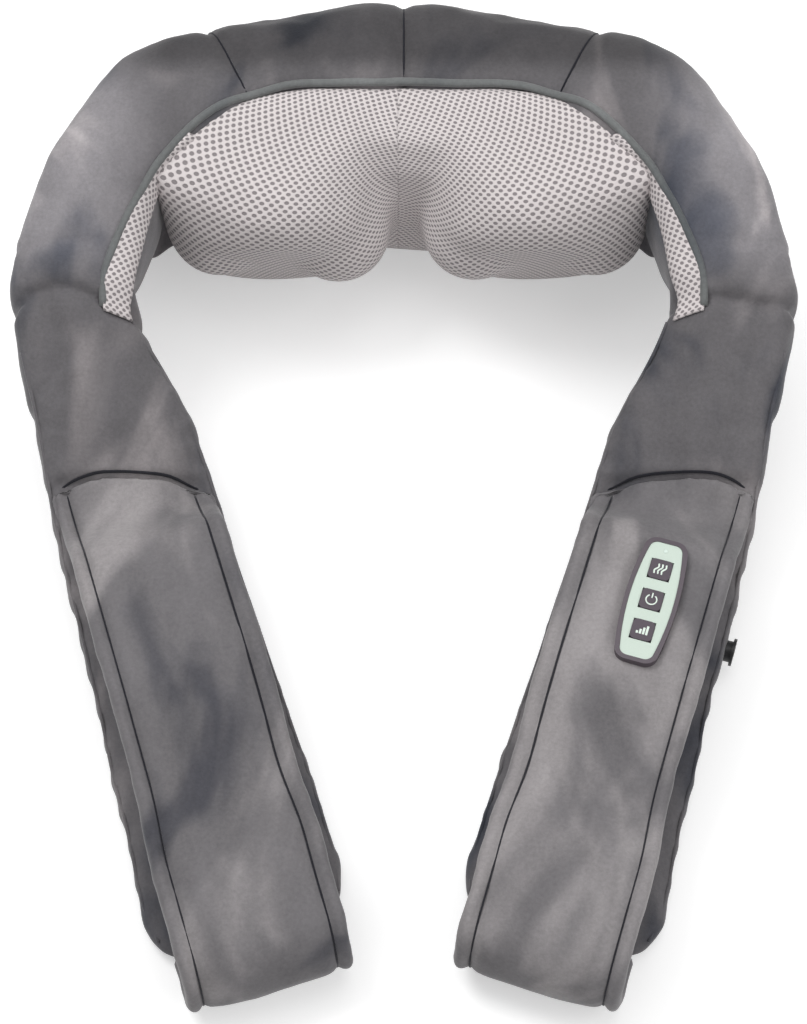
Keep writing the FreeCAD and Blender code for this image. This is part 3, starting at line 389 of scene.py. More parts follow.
def evenly(line, step):
    """The same line with points at even steps."""
    lengths = [0.0]
    for a, b in zip(line, line[1:]):
        lengths.append(lengths[-1] + (b - a).length)
    count = max(2, round(lengths[-1] / step))
    out, k = [], 0
    for i in range(count + 1):
        want = lengths[-1] * i / count
        while k < len(lengths) - 2 and lengths[k + 1] < want:
            k += 1
        span = max(lengths[k + 1] - lengths[k], 1e-12)
        out.append(line[k].lerp(line[k + 1], min(1.0, max(0.0, (want - lengths[k]) / span))))
    return out


def smooth_line(line, rounds):
    for _ in range(rounds):
        inner = [(a + 2 * b + c) / 4 for a, b, c in zip(line, line[1:], line[2:])]
        line = [line[0]] + inner + [line[-1]]
    return line


def step_between(low, high, value):
    """0 below low, 1 above high, and smooth between."""
    share = min(1.0, max(0.0, (value - low) / (high - low)))
    return share * share * (3 - 2 * share)


def bell(value, width):
    return math.exp(-(value / width) ** 2)


# ---------------------------------------------------------------- materials

def node(tree, kind, **values):
    made = tree.nodes.new(kind)
    for key, value in values.items():
        setattr(made, key, value)
    return made


def link(tree, a, b):
    tree.links.new(a, b)


def math_node(tree, operation, a, b=None, clamp=False):
    made = node(tree, "ShaderNodeMath", operation=operation, use_clamp=clamp)
    for socket, value in zip(made.inputs, (a, b)):
        if value is None:
            continue
        if isinstance(value, (int, float)):
            socket.default_value = value
        else:
            link(tree, value, socket)
    return made.outputs[0]


def noise_node(tree, vector, scale, detail=3, roughness=0.55, distortion=0.0):
    made = node(tree, "ShaderNodeTexNoise")
    made.inputs["Scale"].default_value = scale
    made.inputs["Detail"].default_value = detail
    made.inputs["Roughness"].default_value = roughness
    made.inputs["Distortion"].default_value = distortion
    link(tree, vector, made.inputs["Vector"])
    return made.outputs["Fac"]


def ramp(tree, factor, low, high):
    """Stretches a factor so that low becomes 0 and high becomes 1."""
    made = node(tree, "ShaderNodeMapRange", interpolation_type="SMOOTHSTEP")
    made.inputs["From Min"].default_value = low
    made.inputs["From Max"].default_value = high
    link(tree, factor, made.inputs["Value"])
    return made.outputs["Result"]


def mix(tree, factor, a, b, blend="MIX"):
    made = node(tree, "ShaderNodeMix", data_type="RGBA", blend_type=blend)
    for socket, value in zip((made.inputs[0], made.inputs[6], made.inputs[7]), (factor, a, b)):
        if isinstance(value, (int, float)):
            socket.default_value = value
        elif isinstance(value, tuple):
            socket.default_value = (*value, 1)
        else:
            link(tree, value, socket)
    return made.outputs[2]


def new_group(name, inputs, outputs):
    """An empty shader node group with named sockets."""
    group = bpy.data.node_groups.new(name, "ShaderNodeTree")
    for label, kind, value in inputs:
        socket = group.interface.new_socket(name=label, in_out="INPUT", socket_type=kind)
        if value is not None:
            socket.default_value = value
    for label, kind in outputs:
        group.interface.new_socket(name=label, in_out="OUTPUT", socket_type=kind)
    return group, group.nodes.new("NodeGroupInput"), group.nodes.new("NodeGroupOutput")


def grain_group():
    """Colour drift and fine grain, for moulded, painted and printed surfaces."""
    name = "surface_grain"
    if name in bpy.data.node_groups:
        return bpy.data.node_groups[name]
    group, enter, leave = new_group(name, [
        ("Colour", "NodeSocketColor", None), ("Scale", "NodeSocketFloat", 900.0),
        ("Drift", "NodeSocketFloat", 0.12), ("Roughness", "NodeSocketFloat", 0.5)],
        [("Colour", "NodeSocketColor"), ("Roughness", "NodeSocketFloat"), ("Height", "NodeSocketFloat")])
    where = group.nodes.new("ShaderNodeTexCoord").outputs["Object"]
    fine = group.nodes.new("ShaderNodeTexNoise")
    link(group, where, fine.inputs["Vector"])
    link(group, enter.outputs["Scale"], fine.inputs["Scale"])
    fine.inputs["Detail"].default_value = 4
    broad = noise_node(group, where, 38, 3)
    shade = math_node(group, "MULTIPLY", math_node(group, "SUBTRACT", broad, 0.5), enter.outputs["Drift"])
    fleck = math_node(group, "MULTIPLY", math_node(group, "SUBTRACT", fine.outputs["Fac"], 0.5), 0.10)
    gain = math_node(group, "ADD", 1.0, math_node(group, "ADD", shade, fleck))
    scaled = node(group, "ShaderNodeVectorMath", operation="SCALE")
    link(group, enter.outputs["Colour"], scaled.inputs[0])
    link(group, gain, scaled.inputs["Scale"])
    link(group, scaled.outputs[0], leave.inputs["Colour"])
    worn = math_node(group, "ADD", enter.outputs["Roughness"], math_node(group, "MULTIPLY", shade, 0.8))
    link(group, math_node(group, "ADD", worn, fleck, clamp=True), leave.inputs["Roughness"])
    link(group, fine.outputs["Fac"], leave.inputs["Height"])
    return group


def pile_group():
    """Velvet: brushed patches, soft mottling and the pile's fine nap."""
    name = "velvet_pile"
    if name in bpy.data.node_groups:
        return bpy.data.node_groups[name]
    group, enter, leave = new_group(name, [
        ("Colour", "NodeSocketColor", None), ("Light", "NodeSocketColor", None),
        ("Dark", "NodeSocketColor", None),
        ("Patches", "NodeSocketFloat", 1.0)],
        [("Colour", "NodeSocketColor"), ("Height", "NodeSocketFloat")])
    where = group.nodes.new("ShaderNodeTexCoord").outputs["Object"]
    brushed = node(group, "ShaderNodeMapping")
    brushed.inputs["Rotation"].default_value = (0.2, 0.1, 0.6)
    brushed.inputs["Scale"].default_value = (1.0, 0.55, 0.8)
    link(group, where, brushed.inputs["Vector"])
    broad = noise_node(group, brushed.outputs["Vector"], 15, 3, 0.5, 0.7)
    middle = noise_node(group, brushed.outputs["Vector"], 42, 4, 0.6, 0.4)
    nap = noise_node(group, where, 520, 3, 0.7)
    pile = noise_node(group, where, 1700, 2, 0.6)
    light = math_node(group, "MULTIPLY", ramp(group, broad, 0.50, 0.70), enter.outputs["Patches"])
    dark = math_node(group, "MULTIPLY", ramp(group, broad, 0.47, 0.30), enter.outputs["Patches"])
    colour = mix(group, light, enter.outputs["Colour"], enter.outputs["Light"])
    colour = mix(group, dark, colour, enter.outputs["Dark"])
    mottle = math_node(group, "MULTIPLY", math_node(group, "SUBTRACT", middle, 0.5), 0.55)
    fleck = math_node(group, "MULTIPLY", math_node(group, "SUBTRACT", nap, 0.5), 0.5)
    gain = math_node(group, "ADD", 1.0, math_node(group, "ADD", mottle, fleck))
    scaled = node(group, "ShaderNodeVectorMath", operation="SCALE")
    link(group, colour, scaled.inputs[0])
    link(group, gain, scaled.inputs["Scale"])
    link(group, scaled.outputs[0], leave.inputs["Colour"])
    height = math_node(group, "ADD", math_node(group, "MULTIPLY", nap, 0.6),
                       math_node(group, "MULTIPLY", pile, 0.4))
    link(group, height, leave.inputs["Height"])
    return group


def holes_group():
    """Air mesh: staggered oval holes in a knitted face, on the cloth's own UV map."""
    name = "air_mesh_holes"
    if name in bpy.data.node_groups:
        return bpy.data.node_groups[name]
    group, enter, leave = new_group(name, [
        ("Colour", "NodeSocketColor", None), ("Hole", "NodeSocketColor", None),
        ("Pitch", "NodeSocketFloat", 0.0041),
        ("Size", "NodeSocketFloat", 0.23)],
        [("Colour", "NodeSocketColor"), ("Height", "NodeSocketFloat"), ("Hole", "NodeSocketFloat")])
    where = group.nodes.new("ShaderNodeTexCoord").outputs["UV"]
    split = group.nodes.new("ShaderNodeSeparateXYZ")
    link(group, where, split.inputs[0])
    cells = []
    for shift in (0.0, 0.5):
        parts = []
        for axis, stretch in ((0, 0.9), (1, 1.12)):
            turns = math_node(group, "DIVIDE", split.outputs[axis], enter.outputs["Pitch"])
            offset = math_node(group, "FRACT", math_node(group, "ADD", turns, shift))
            centred = math_node(group, "MULTIPLY", math_node(group, "SUBTRACT", offset, 0.5), stretch)
            parts.append(math_node(group, "MULTIPLY", centred, centred))
        cells.append(math_node(group, "SQRT", math_node(group, "ADD", parts[0], parts[1])))
    near = math_node(group, "MINIMUM", cells[0], cells[1])
    gone = math_node(group, "SUBTRACT", enter.outputs["Size"], near)
    hole = ramp(group, gone, -0.045, 0.045)
    yarn = noise_node(group, where, 2600, 2, 0.6)
    broad = noise_node(group, where, 34, 2, 0.5)
    tone = math_node(group, "ADD", 0.90, math_node(group, "ADD", math_node(group, "MULTIPLY", yarn, 0.12),
                                                  math_node(group, "MULTIPLY", broad, 0.08)))
    scaled = node(group, "ShaderNodeVectorMath", operation="SCALE")
    link(group, enter.outputs["Colour"], scaled.inputs[0])
    link(group, tone, scaled.inputs["Scale"])
    # Painted shade in the holes: the Hole colour is the backing seen through each hole, darkened as the shade
    # inside it.
    link(group, mix(group, hole, scaled.outputs[0], enter.outputs["Hole"]), leave.inputs["Colour"])
    height = math_node(group, "ADD", math_node(group, "MULTIPLY", hole, -1.0),
                       math_node(group, "MULTIPLY", yarn, 0.22))
    link(group, height, leave.inputs["Height"])
    link(group, hole, leave.inputs["Hole"])
    return group


def new_material(name):
    material = bpy.data.materials.new(name)
    material.use_nodes = True
    tree = material.node_tree
    shader = next(n for n in tree.nodes if n.type == "BSDF_PRINCIPLED")
    return material, tree, shader


def add_bump(tree, shader, height, strength, distance):
    bump = node(tree, "ShaderNodeBump")
    bump.inputs["Strength"].default_value = strength
    bump.inputs["Distance"].default_value = distance
    link(tree, height, bump.inputs["Height"])
    link(tree, bump.outputs["Normal"], shader.inputs["Normal"])


def placed_group(tree, group, **values):
    made = node(tree, "ShaderNodeGroup", node_tree=group)
    for label, value in values.items():
        made.inputs[label].default_value = (*value, 1) if isinstance(value, tuple) else value
    return made


def painted_sheen_shade_masks(tree):
    """Painted sheen on the collar's sides and painted shade on its back: masks of where the velvet is drawn
    lighter and darker.
    """
    split = tree.nodes.new("ShaderNodeSeparateXYZ")
    link(tree, tree.nodes.new("ShaderNodeTexCoord").outputs["Object"], split.inputs[0])
    out = math_node(tree, "ABSOLUTE", split.outputs["X"])
    side = math_node(tree, "MULTIPLY", ramp(tree, out, 0.115, 0.165),
                     ramp(tree, split.outputs["Y"], 0.085, 0.125))
    side = math_node(tree, "MULTIPLY", side, ramp(tree, split.outputs["Y"], 0.225, 0.185))
    back = math_node(tree, "MULTIPLY", ramp(tree, split.outputs["Y"], 0.196, 0.215),
                     ramp(tree, out, 0.155, 0.120))
    return side, back


def velvet(name, colour, light, dark, patches=1.0, sheen_and_shade=False):
    """Short-pile velvet."""
    material, tree, shader = new_material(name)
    pile = placed_group(tree, pile_group(), Colour=colour, Light=light, Dark=dark, Patches=patches)
    if sheen_and_shade:
        # Painted sheen and shade: each colour at twice its value on the collar's sides, and at 0.55 of it on
        # the back.
        side, back = painted_sheen_shade_masks(tree)
        for label, value in (("Colour", colour), ("Light", light), ("Dark", dark)):
            raised = tuple(min(1.0, 2.0 * c) for c in value)
            shaded_copy = tuple(0.55 * c for c in value)
            tone = mix(tree, back, mix(tree, side, value, raised), shaded_copy)
            link(tree, tone, pile.inputs[label])
    link(tree, pile.outputs["Colour"], shader.inputs["Base Color"])
    shader.inputs["Roughness"].default_value = 0.9
    shader.inputs["Specular IOR Level"].default_value = 0.15
    shader.inputs["Sheen Weight"].default_value = 0.35
    shader.inputs["Sheen Roughness"].default_value = 0.4
    add_bump(tree, shader, pile.outputs["Height"], 0.35, 0.0006)
    return material


def air_mesh(name, colour):
    """Knitted spacer mesh with staggered holes."""
    material, tree, shader = new_material(name)
    # The holes' grey is the backing seen through them, darkened with painted shade inside the holes.
    holes = placed_group(tree, holes_group(), Colour=colour, Hole=(0.27, 0.245, 0.25),
                         Pitch=sizes().pouch.pitch)
    link(tree, holes.outputs["Colour"], shader.inputs["Base Color"])
    shader.inputs["Roughness"].default_value = 0.85
    shader.inputs["Specular IOR Level"].default_value = 0.2
    shader.inputs["Sheen Weight"].default_value = 0.15
    add_bump(tree, shader, holes.outputs["Height"], 0.6, 0.0008)
    return material


def moulded(name, colour, roughness=0.5, grain=1400.0, drift=0.12, depth=0.12, coat=0.0, metal=0.0):
    """A moulded, printed or turned surface with its own grain."""
    material, tree, shader = new_material(name)
    surface = placed_group(tree, grain_group(), Colour=colour, Scale=grain, Drift=drift, Roughness=roughness)
    link(tree, surface.outputs["Colour"], shader.inputs["Base Color"])
    link(tree, surface.outputs["Roughness"], shader.inputs["Roughness"])
    shader.inputs["Metallic"].default_value = metal
    shader.inputs["Coat Weight"].default_value = coat
    add_bump(tree, shader, surface.outputs["Height"], depth, 0.0002)
    return material


def glowing(name, colour, strength):
    """A lit indicator."""
    material, tree, shader = new_material(name)
    surface = placed_group(tree, grain_group(), Colour=colour, Scale=2400.0, Drift=0.1, Roughness=0.35)
    link(tree, surface.outputs["Colour"], shader.inputs["Base Color"])
    link(tree, surface.outputs["Colour"], shader.inputs["Emission Color"])
    shader.inputs["Emission Strength"].default_value = strength
    add_bump(tree, shader, surface.outputs["Height"], 0.05, 0.0001)
    return material


def red_filter(name):
    """The translucent red lens over the warming light."""
    material, tree, shader = new_material(name)
    surface = placed_group(tree, grain_group(), Colour=(0.62, 0.03, 0.02), Scale=1800.0, Drift=0.1,
                           Roughness=0.18)
    link(tree, surface.outputs["Colour"], shader.inputs["Base Color"])
    link(tree, surface.outputs["Roughness"], shader.inputs["Roughness"])
    shader.inputs["Transmission Weight"].default_value = 0.45
    add_bump(tree, shader, surface.outputs["Height"], 0.05, 0.0001)
    return material


def dress(obj, material):
    obj.data.materials.clear()
    obj.data.materials.append(material)
    return obj


def material_named(name):
    return bpy.data.materials[name]


# ---------------------------------------------------------------- velvet skin

def hinge_filler(bm, tree, side, reach=0.038, half=0.027, inset=0.002):
    """The soft filling that carries the velvet over the fold, from the collar's end to the arm's."""
    points = []
    for s in (-reach, reach):
        for t in (-half, -half / 2, half / 2, half):
            for start, way in ((0.3, -1), (-0.1, 1)):
                origin = arm_point(side, s, t, start)
                hit = tree.ray_cast(origin, UP * way)[0]
                if hit is not None:
                    points.append(hit + UP * way * inset)
    hull_into(bm, points)


def in_drive_room(point):
    """Inside the collar's pocket for the drive housing, where the velvet keeps its shape."""
    return abs(point.x) < 0.118 and point.y < 0.236 and 0.022 < point.z < 0.136


def seam_pinch(point):
    """How far the collar's sewn seams and the fold creases draw the velvet in."""
    depth = 0.0024 * bell(point.x, 0.0030) + 0.0012 * bell(point.x, 0.012)
    for side in (-1, 1):
        reach = side_seam_distance(side, point)
        share = step_between(0.035, 0.075, point.z)
        depth += share * (0.0020 * bell(reach, 0.003) + 0.0010 * bell(reach, 0.011))
    if point.y < 0.15:
        side = 1 if point.x > 0 else -1
        s, t, _ = arm_place(side, point)
        wander = 0.0035 * math.sin(t * 70 + side) - 0.30 * t * side
        depth += 0.0042 * bell(s - wander + 0.002, 0.0034) - 0.0022 * bell(s - wander + 0.013, 0.008)
        for where, slant, strength in ((0.016, 0.5, 0.0016), (-0.022, -0.45, 0.0014), (0.030, 0.3, 0.0010)):
            crease = s - where - slant * (side * t + 0.01)
            depth += strength * bell(crease, 0.004) * step_between(-0.01, 0.02, side * t)
    return -depth


def shoulder_plane(side):
    """A point and the normal of the plane that a shoulder seam lies in."""
    return Vector((side * 0.0915, 0.2125, 0)), Vector((0.90, -side * 0.43, 0))


def side_seam_distance(side, point):
    """Distance from the seam plane at the collar's shoulder, on that side."""
    through, normal = shoulder_plane(side)
    normal.normalize()
    if side * point.x < 0.02 or point.y < 0.17:
        return 1.0
    return (Vector((point.x, point.y, 0)) - through).dot(normal)


def ripple(point, scale, seed):
    return noise.noise(Vector((point.x * scale + seed, point.y * scale, point.z * scale)))


# The ball of velvet behind the power inlet: its radius, and how far inward of the inlet it lies.
INLET_WELT = 0.0165
WELT_INWARD = 0.0135

# The collar's inner corner in plan, which stays covered above the drive housing.
SHOULDER_PLAN = ((0.070, 0.1945), (0.086, 0.1935), (0.099, 0.1840), (0.112, 0.1685), (0.123, 0.1530),
                 (0.140, 0.165),
                 (0.120, 0.215), (0.070, 0.215))


def inner_edge_distance():
    """A function of a point: its distance in plan from the collar's piped inner edge."""
    plan = piping_plan(-1) + piping_plan(1)
    tree = KDTree(len(plan))
    for i, p in enumerate(plan):
        tree.insert(p, i)
    tree.balance()
    return lambda point: tree.find(Vector((point.x, point.y, 0)))[2]


def tuck_corner(skin, inner, most=0.034, high=0.085, wide=0.050):
    """Draws the collar's lower inner corners back under its sides."""
    bm = opened(skin)
    for vert in bm.verts:
        p = vert.co
        near = inner(p)
        if p.z < high and near < wide and 0.100 < abs(p.x) < 0.165 and 0.10 < p.y < 0.20:
            out = Vector((p.x, p.y - 0.05, 0)).normalized()
            share = step_between(0.100, 0.114, abs(p.x)) * (1 - step_between(0.140, 0.165, abs(p.x)))
            vert.co = p + out * most * share * (1 - p.z / high) * (1 - near / wide)
    closed(skin, bm)
    relax(skin, 4, chosen=lambda p: p.z < high and 0.09 < abs(p.x) < 0.17 and p.y > 0.10)


# How far each arm's inner side is let out, and how much of that its tip gives back.
LET_OUT = 0.0110
TIP_BACK = 0.0040


def let_out(obj, side=None):
    """Eases an arm's soft parts out on the inner side, where the pads lie wider than their foam."""
    def shift(point):
        arm = side or (1 if point.x > 0 else -1)
        s, t, _ = arm_place(arm, point)
        inner = -arm * t
        most = LET_OUT * step_between(0.0, 0.075, s) - TIP_BACK * step_between(0.22, 0.33, s)
        return arm_axes(arm)[1] * -arm * most * step_between(-0.004, 0.036, inner)
    set_points(obj, np.array([Vector(p) + shift(Vector(p)) if p[1] < 0.10 else Vector(p)
                              for p in points_of(obj)]))


def strap_bed(point):
    """How far the pad gives way under the start of its loop strap."""
    side = 1 if point.x > 0 else -1
    s, t, z = arm_place(side, point)
    if z < 0.040 or s < 0.05:
        return 0.0
    start = 0.072 + 0.009 * (1 - side * t / 0.035)
    return -0.0045 * step_between(start - 0.003, start + 0.006, s) * (1 - step_between(0.030, 0.036, abs(t)))


def make_skin(values):
    """The whole velvet skin, filled, before it is cut into its two halves."""
    bm = bmesh.new()
    for name in ("collar_foam", "left_arm_foam", "right_arm_foam"):
        bm.from_mesh(frame["nodes"][name].data)
    bmesh.ops.remove_doubles(bm, verts=bm.verts, dist=1e-6)
    tree = BVHTree.FromBMesh(bm)
    for _, side in SIDES:
        hinge_filler(bm, tree, side)
        hull_into(bm, [Vector((side * x, y, z)) for x, y in SHOULDER_PLAN for z in (0.127, 0.1465)])
    inlet = (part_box("dc_inlet")[0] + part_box("dc_inlet")[1]) / 2
    hull_into(bm, ball_points(inlet - arm_axes(1)[1] * WELT_INWARD, INLET_WELT))
    skin = as_object("velvet_skin", bm)
    remesh(skin, values.voxel)
    relax(skin, 3)
    inner = inner_edge_distance()
    relax(skin, 34, chosen=lambda p: p.y > 0.12 and p.z > 0.03 and inner(p) > 0.024)
    relax(skin, 3)
    tuck_corner(skin, inner)
    displace(skin, lambda p: 0.0 if in_drive_room(p) else 0.0016)
    before = points_of(skin)
    inflate(skin, values.pressure, values.frames, lambda p: values.swell * (0.7 if p[1] < 0.11 else 0.35))
    for _ in range(18):
        relax(skin, 1, 0.5, lambda p: p.y < 0.075)
        relax(skin, 1, -0.52, lambda p: p.y < 0.075)
    after = points_of(skin)
    for i, point in enumerate(before):
        if in_drive_room(Vector(point)) and point[1] < 0.21:
            after[i] = point
    set_points(skin, after)
    add_subdivision(skin)
    apply_modifiers(skin)
    displace(skin, lambda p: seam_pinch(p) + strap_bed(p) + 0.0011 * ripple(p, 32, 3.1) + 0.0005
             * ripple(p, 90, 7.7))
    relax(skin, 1, 0.3)
    co = points_of(skin)
    co[:, 1] -= [0.0042 * step_between(0.190, 0.255, y) * step_between(0.080, 0.120, z) for _, y, z in co]
    set_points(skin, co)
    let_out(skin)
    on_floor(skin)
    return skin


def half_of(skin, name, side):
    """One half of the skin, cut at the centre seam and closed there."""
    bm = opened(skin)
    bmesh.ops.bisect_plane(bm, geom=bm.verts[:] + bm.edges[:] + bm.faces[:], dist=1e-6, plane_co=(0, 0, 0),
                           plane_no=(side, 0, 0), clear_inner=True)
    rim = [e for e in bm.edges if e.is_boundary]
    bmesh.ops.holes_fill(bm, edges=rim, sides=0)
    bmesh.ops.recalc_face_normals(bm, faces=bm.faces)
    return smooth_shaded(as_object(name, bm))


def over_fold(piece):
    """Bakes a piece's placement into its mesh; it does not bend it over the fold."""
    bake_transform(piece)


class MASSAGER_OT_velvet(bpy.types.Operator):
    """Makes the velvet collar and arms, filled and seamed."""
    bl_idname = "massager.velvet"
    bl_label = "Velvet collar and arms"

    def execute(self, context):
        skin = make_skin(sizes().velvet)
        for label, side in SIDES:
            half = half_of(skin, f"{label}_velvet", side)
            dress(half, material_named("velvet_grey"))
            if side < 0:
                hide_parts("collar_cover", "collar_foam", "left_arm_cover", "left_arm_foam")
            else:
                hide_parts("right_arm_cover", "right_arm_foam")
            over_fold(half)
        skin.hide_render = skin.hide_viewport = True
        skin_line(skin)
        bpy.data.objects.remove(skin)
        return {"FINISHED"}


def skin_line(skin):
    """Piping, seams and mesh strips that lie on the skin, which need it whole."""
    tree = tree_of(skin)
    make_collar_piping(tree)
    make_seams(skin)
    make_mesh_strips(tree)
    make_arm_edges(tree)


LINES = {}
STEEP = 0.42


def on_shoulder(tree, place, outward, lift=0.0, lowest=0.0):
    """The skin's point below a place in plan, moved outward until the skin there is high and isn't steep."""
    for step in range(41):
        x, y = place.x + outward.x * step * MM, place.y + outward.y * step * MM
        hit, normal, _, _ = tree.ray_cast(Vector((x, y, 0.3)), Vector((0, 0, -1)))
        if hit is not None and normal.z > STEEP and hit.z > lowest:
            return hit + UP * lift
    raise RuntimeError(f"no skin lies near {place.x:.3f}, {place.y:.3f}")


def outward_of(line, i):
    """Away from the wearer's neck, square to a plan line."""
    ahead = (line[min(i + 1, len(line) - 1)] - line[max(i - 1, 0)]).normalized()
    off = Vector((ahead.y, -ahead.x, 0))
    return off if off.dot(line[i] - Vector((0, 0.05, 0))) > 0 else -off


# The collar piping's plan on the +X side, from the centre to the fold: an even curve.
PIPING_PLAN = ((0.0, 0.1905), (0.030, 0.1930), (0.053, 0.1935), (0.084, 0.1890), (0.097, 0.1815),
               (0.110, 0.1680),
               (0.124, 0.1515), (0.135, 0.1370), (0.1415, 0.1270), (0.148, 0.1150), (0.1535, 0.1050),
               (0.156, 0.0950),
               (0.1545, 0.0850))


def piping_plan(side):
    line = [Vector((side * x, y, 0)) for x, y in PIPING_PLAN]
    return smooth_line(evenly(line, 0.003), 6)


def make_collar_piping(tree):
    """The corded edge between velvet and mesh, from fold to fold."""
    radius = sizes().velvet.piping
    plan = [Vector(p) for p in reversed(piping_plan(-1))] + piping_plan(1)[1:]
    line = [on_shoulder(tree, p, outward_of(plan, i), 0.0006, 0.095) for i, p in enumerate(plan)]
    line = smooth_line(line, 12)
    LINES["piping"] = line
    cord = tube("collar_piping", line, radius, 10)
    dress(cord, material_named("piping_grey"))
    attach(cord, "root")


def cut_line(skin, through, normal, keep):
    """The line where a plane cuts the skin, on the part that keep accepts, in order."""
    bm = opened(skin)
    made = bmesh.ops.bisect_plane(bm, geom=bm.verts[:] + bm.edges[:] + bm.faces[:], dist=1e-7,
                                  plane_co=through,
                                  plane_no=normal)["geom_cut"]
    edges = [e for e in made if isinstance(e, bmesh.types.BMEdge)]
    neighbours = {}
    for edge in edges:
        a, b = (tuple(v.co) for v in edge.verts)
        neighbours.setdefault(a, []).append(b)
        neighbours.setdefault(b, []).append(a)
    bm.free()
    neighbours = {p: [q for q in near if keep(Vector(q))] for p,
                  near in neighbours.items() if keep(Vector(p))}
    best = []
    seen = set()
    for start in sorted(neighbours, key=lambda p: (len(neighbours[p]), p)):
        if start in seen:
            continue
        chain, here = [start], start
        seen.add(start)
        while True:
            ahead = [q for q in neighbours[here] if q not in seen]
            if not ahead:
                break
            here = ahead[0]
            seen.add(here)
            chain.append(here)
        if len(chain) > len(best):
            best = chain
    return [Vector(p) for p in best]


def make_seams(skin):
    """The collar's sewn seams: a sunk thread over the centre and over each shoulder, dark as painted shade of
    the seam's crease.
    """
    thread = sizes().velvet.thread
    back = lambda p: p.z > 0.045 and (p.y > 0.235 or p.z > 0.125) and p.y > 0.188
    seams = [("centre_seam", Vector((0.0002, 0, 0)), Vector((1, 0, 0)))]
    for label, side in SIDES:
        seams.append((f"{label}_shoulder_seam", *shoulder_plane(side)))
    for name, through, normal in seams:
        line = cut_line(skin, through, normal, back)
        line = smooth_line(evenly(line, 0.0025), 3)
        seam = tube(name, line, thread * 1.3, 6)
        dress(seam, material_named("thread_and_seam_shade"))
        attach(seam, "root")


def make_mesh_strips(tree):
    """The strips of air mesh that run on from the pouches down to the folds."""
    for label, side in SIDES:
        rows = []
        for edge in LINES["piping"]:
            if edge.x * side < 0 or edge.y > 0.168:
                continue
            core = edge + Vector((side * 0.012, 0, -0.022))
            start = (edge - core)
            first = math.atan2(start.z, -side * start.x)
            row = []
            for k in range(9):
                angle = first - k / 8 * 0.62 * (first - 0.10)
                ray = Vector((-side * math.cos(angle), -0.12, math.sin(angle))).normalized()
                hit = tree.ray_cast(core, ray)[0]
                if hit is None or (hit - core).length > 0.06:
                    hit = core + ray * 0.034
                row.append(hit + ray * 0.0022)
            rows.append(row)
        for _ in range(4):
            rows = [rows[0]] + [[(a + 2 * b + c) / 4 for a, b, c in zip(*trio)]
                                for trio in zip(rows, rows[1:], rows[2:])] + [rows[-1]]
        strip = grid_surface(f"{label}_mesh_strip", rows)
        face_out(strip, lambda c: Vector((-side, -0.2, 0.4)))
        thicken(strip, 0.0012)
        dress(strip, material_named("air_mesh_grey"))
        declare_sheet(strip)
        over_fold(strip)


def face_out(obj, outward):
    """Turns an open sheet's faces to the outward side."""
    bm = opened(obj)
    facing = sum(f.normal.dot(outward(f.calc_center_median())) * f.calc_area() for f in bm.faces)
    if facing < 0:
        bmesh.ops.reverse_faces(bm, faces=bm.faces)
    closed(obj, bm)


def thicken(obj, thickness):
    modifier = obj.modifiers.new("Solidify", "SOLIDIFY")
    modifier.thickness = thickness
    modifier.offset = -1
    apply_modifiers(obj)
    smooth_shaded(obj)


def declare_sheet(obj):
    """Reads the points of a thickened sheet, and does nothing more with them."""
    co = points_of(obj)


def make_arm_edges(tree):
    """A sewn edge line along both sides of each arm pad."""
    thread = sizes().velvet.thread
    for label, side in SIDES:
        for where, sign in (("inner", -side), ("outer", side)):
            line = []
            for k in range(90):
                s = 0.012 + k * 0.0034
                half = 0.033 + 0.008 * step_between(0, 0.09, s) + 0.003 * step_between(0.09, 0.199, s) \
                    + 0.005 * step_between(0.199, 0.298, s)
                t = sign * (half + (LET_OUT if where == "inner" else 0.0) * step_between(0, 0.075, s) + 0.004)
                inward = arm_axes(side)[1] * -math.copysign(1, t)
                line.append(on_shoulder(tree, arm_point(side, s, t, 0), inward, 0.0002))
            edge = tube(f"{label}_arm_{where}_edge", smooth_line(line, 30), thread * 2.0, 7)
            dress(edge, material_named("velvet_grey"))
            over_fold(edge)


# ---------------------------------------------------------------- hand loops

# The strap's upper line, along the arm and above the floor, with the bend at each point.
LOOP_LINE = ((0.072, 0.0692, 0), (0.104, 0.0726, 0.060), (0.134, 0.073, 0.060), (0.202, 0.071, 0.040),
             (0.260, 0.055, 0.060),
             (0.301, 0.065, 0.045), (0.353, 0.058, 0.026), (0.364, 0.022, 0.022), (0.343, 0.002, 0.010),
             (0.322, 0.002, 0))


def loop_half(values, s):
    return values.half + (values.end_half - values.half) * step_between(0.25, 0.30, s)


def loop_section(half, border, thick):
    """The strap's cross-section, (across, height below the upper line), with rolled borders."""
    flat = half - border
    upper = [(0, 0), (0.35 * flat, 0.0002), (0.62 * flat, 0.0006), (0.82 * flat, 0.0012),
             (flat - 0.0022, 0.0021),
             (flat - 0.0006, 0.0038), (flat + 0.0008, 0.0038), (flat + 0.0024, 0.0019),
             (flat + 0.0046, 0.0013),
             (half - 0.0014, 0.0022), (half, 0.0048)]
    lower = [(half, thick - 0.0046), (half - 0.0016, thick - 0.0018), (flat + 0.003, thick - 0.0008),
             (0.7 * flat, thick - 0.0002), (0.35 * flat, thick)]
    right = upper + lower
    left = [(-a, b) for a, b in reversed(right[1:])]
    return right + [(0, thick)] + left + [right[0]]


def loop_stations():
    """The strap's upper line: position, direction and outward normal, in the arm's plane."""
    line = smooth_line(rounded_path(LOOP_LINE, 0.004), 4)
    out = []
    for i, point in enumerate(line):
        ahead = (line[min(i + 1, len(line) - 1)] - line[max(i - 1, 0)]).normalized()
        out.append((point, Vector((-ahead.y, ahead.x))))
    return out


def loop_shift(values, side, run, t, half):
    """How the arched, slanted seam moves the strap's first stretch along the arm."""
    share = 1 - step_between(0, 0.11, run)
    arch = values.arch * (t / half) ** 2
    return share * (arch + values.skew * (1 - side * t / half))


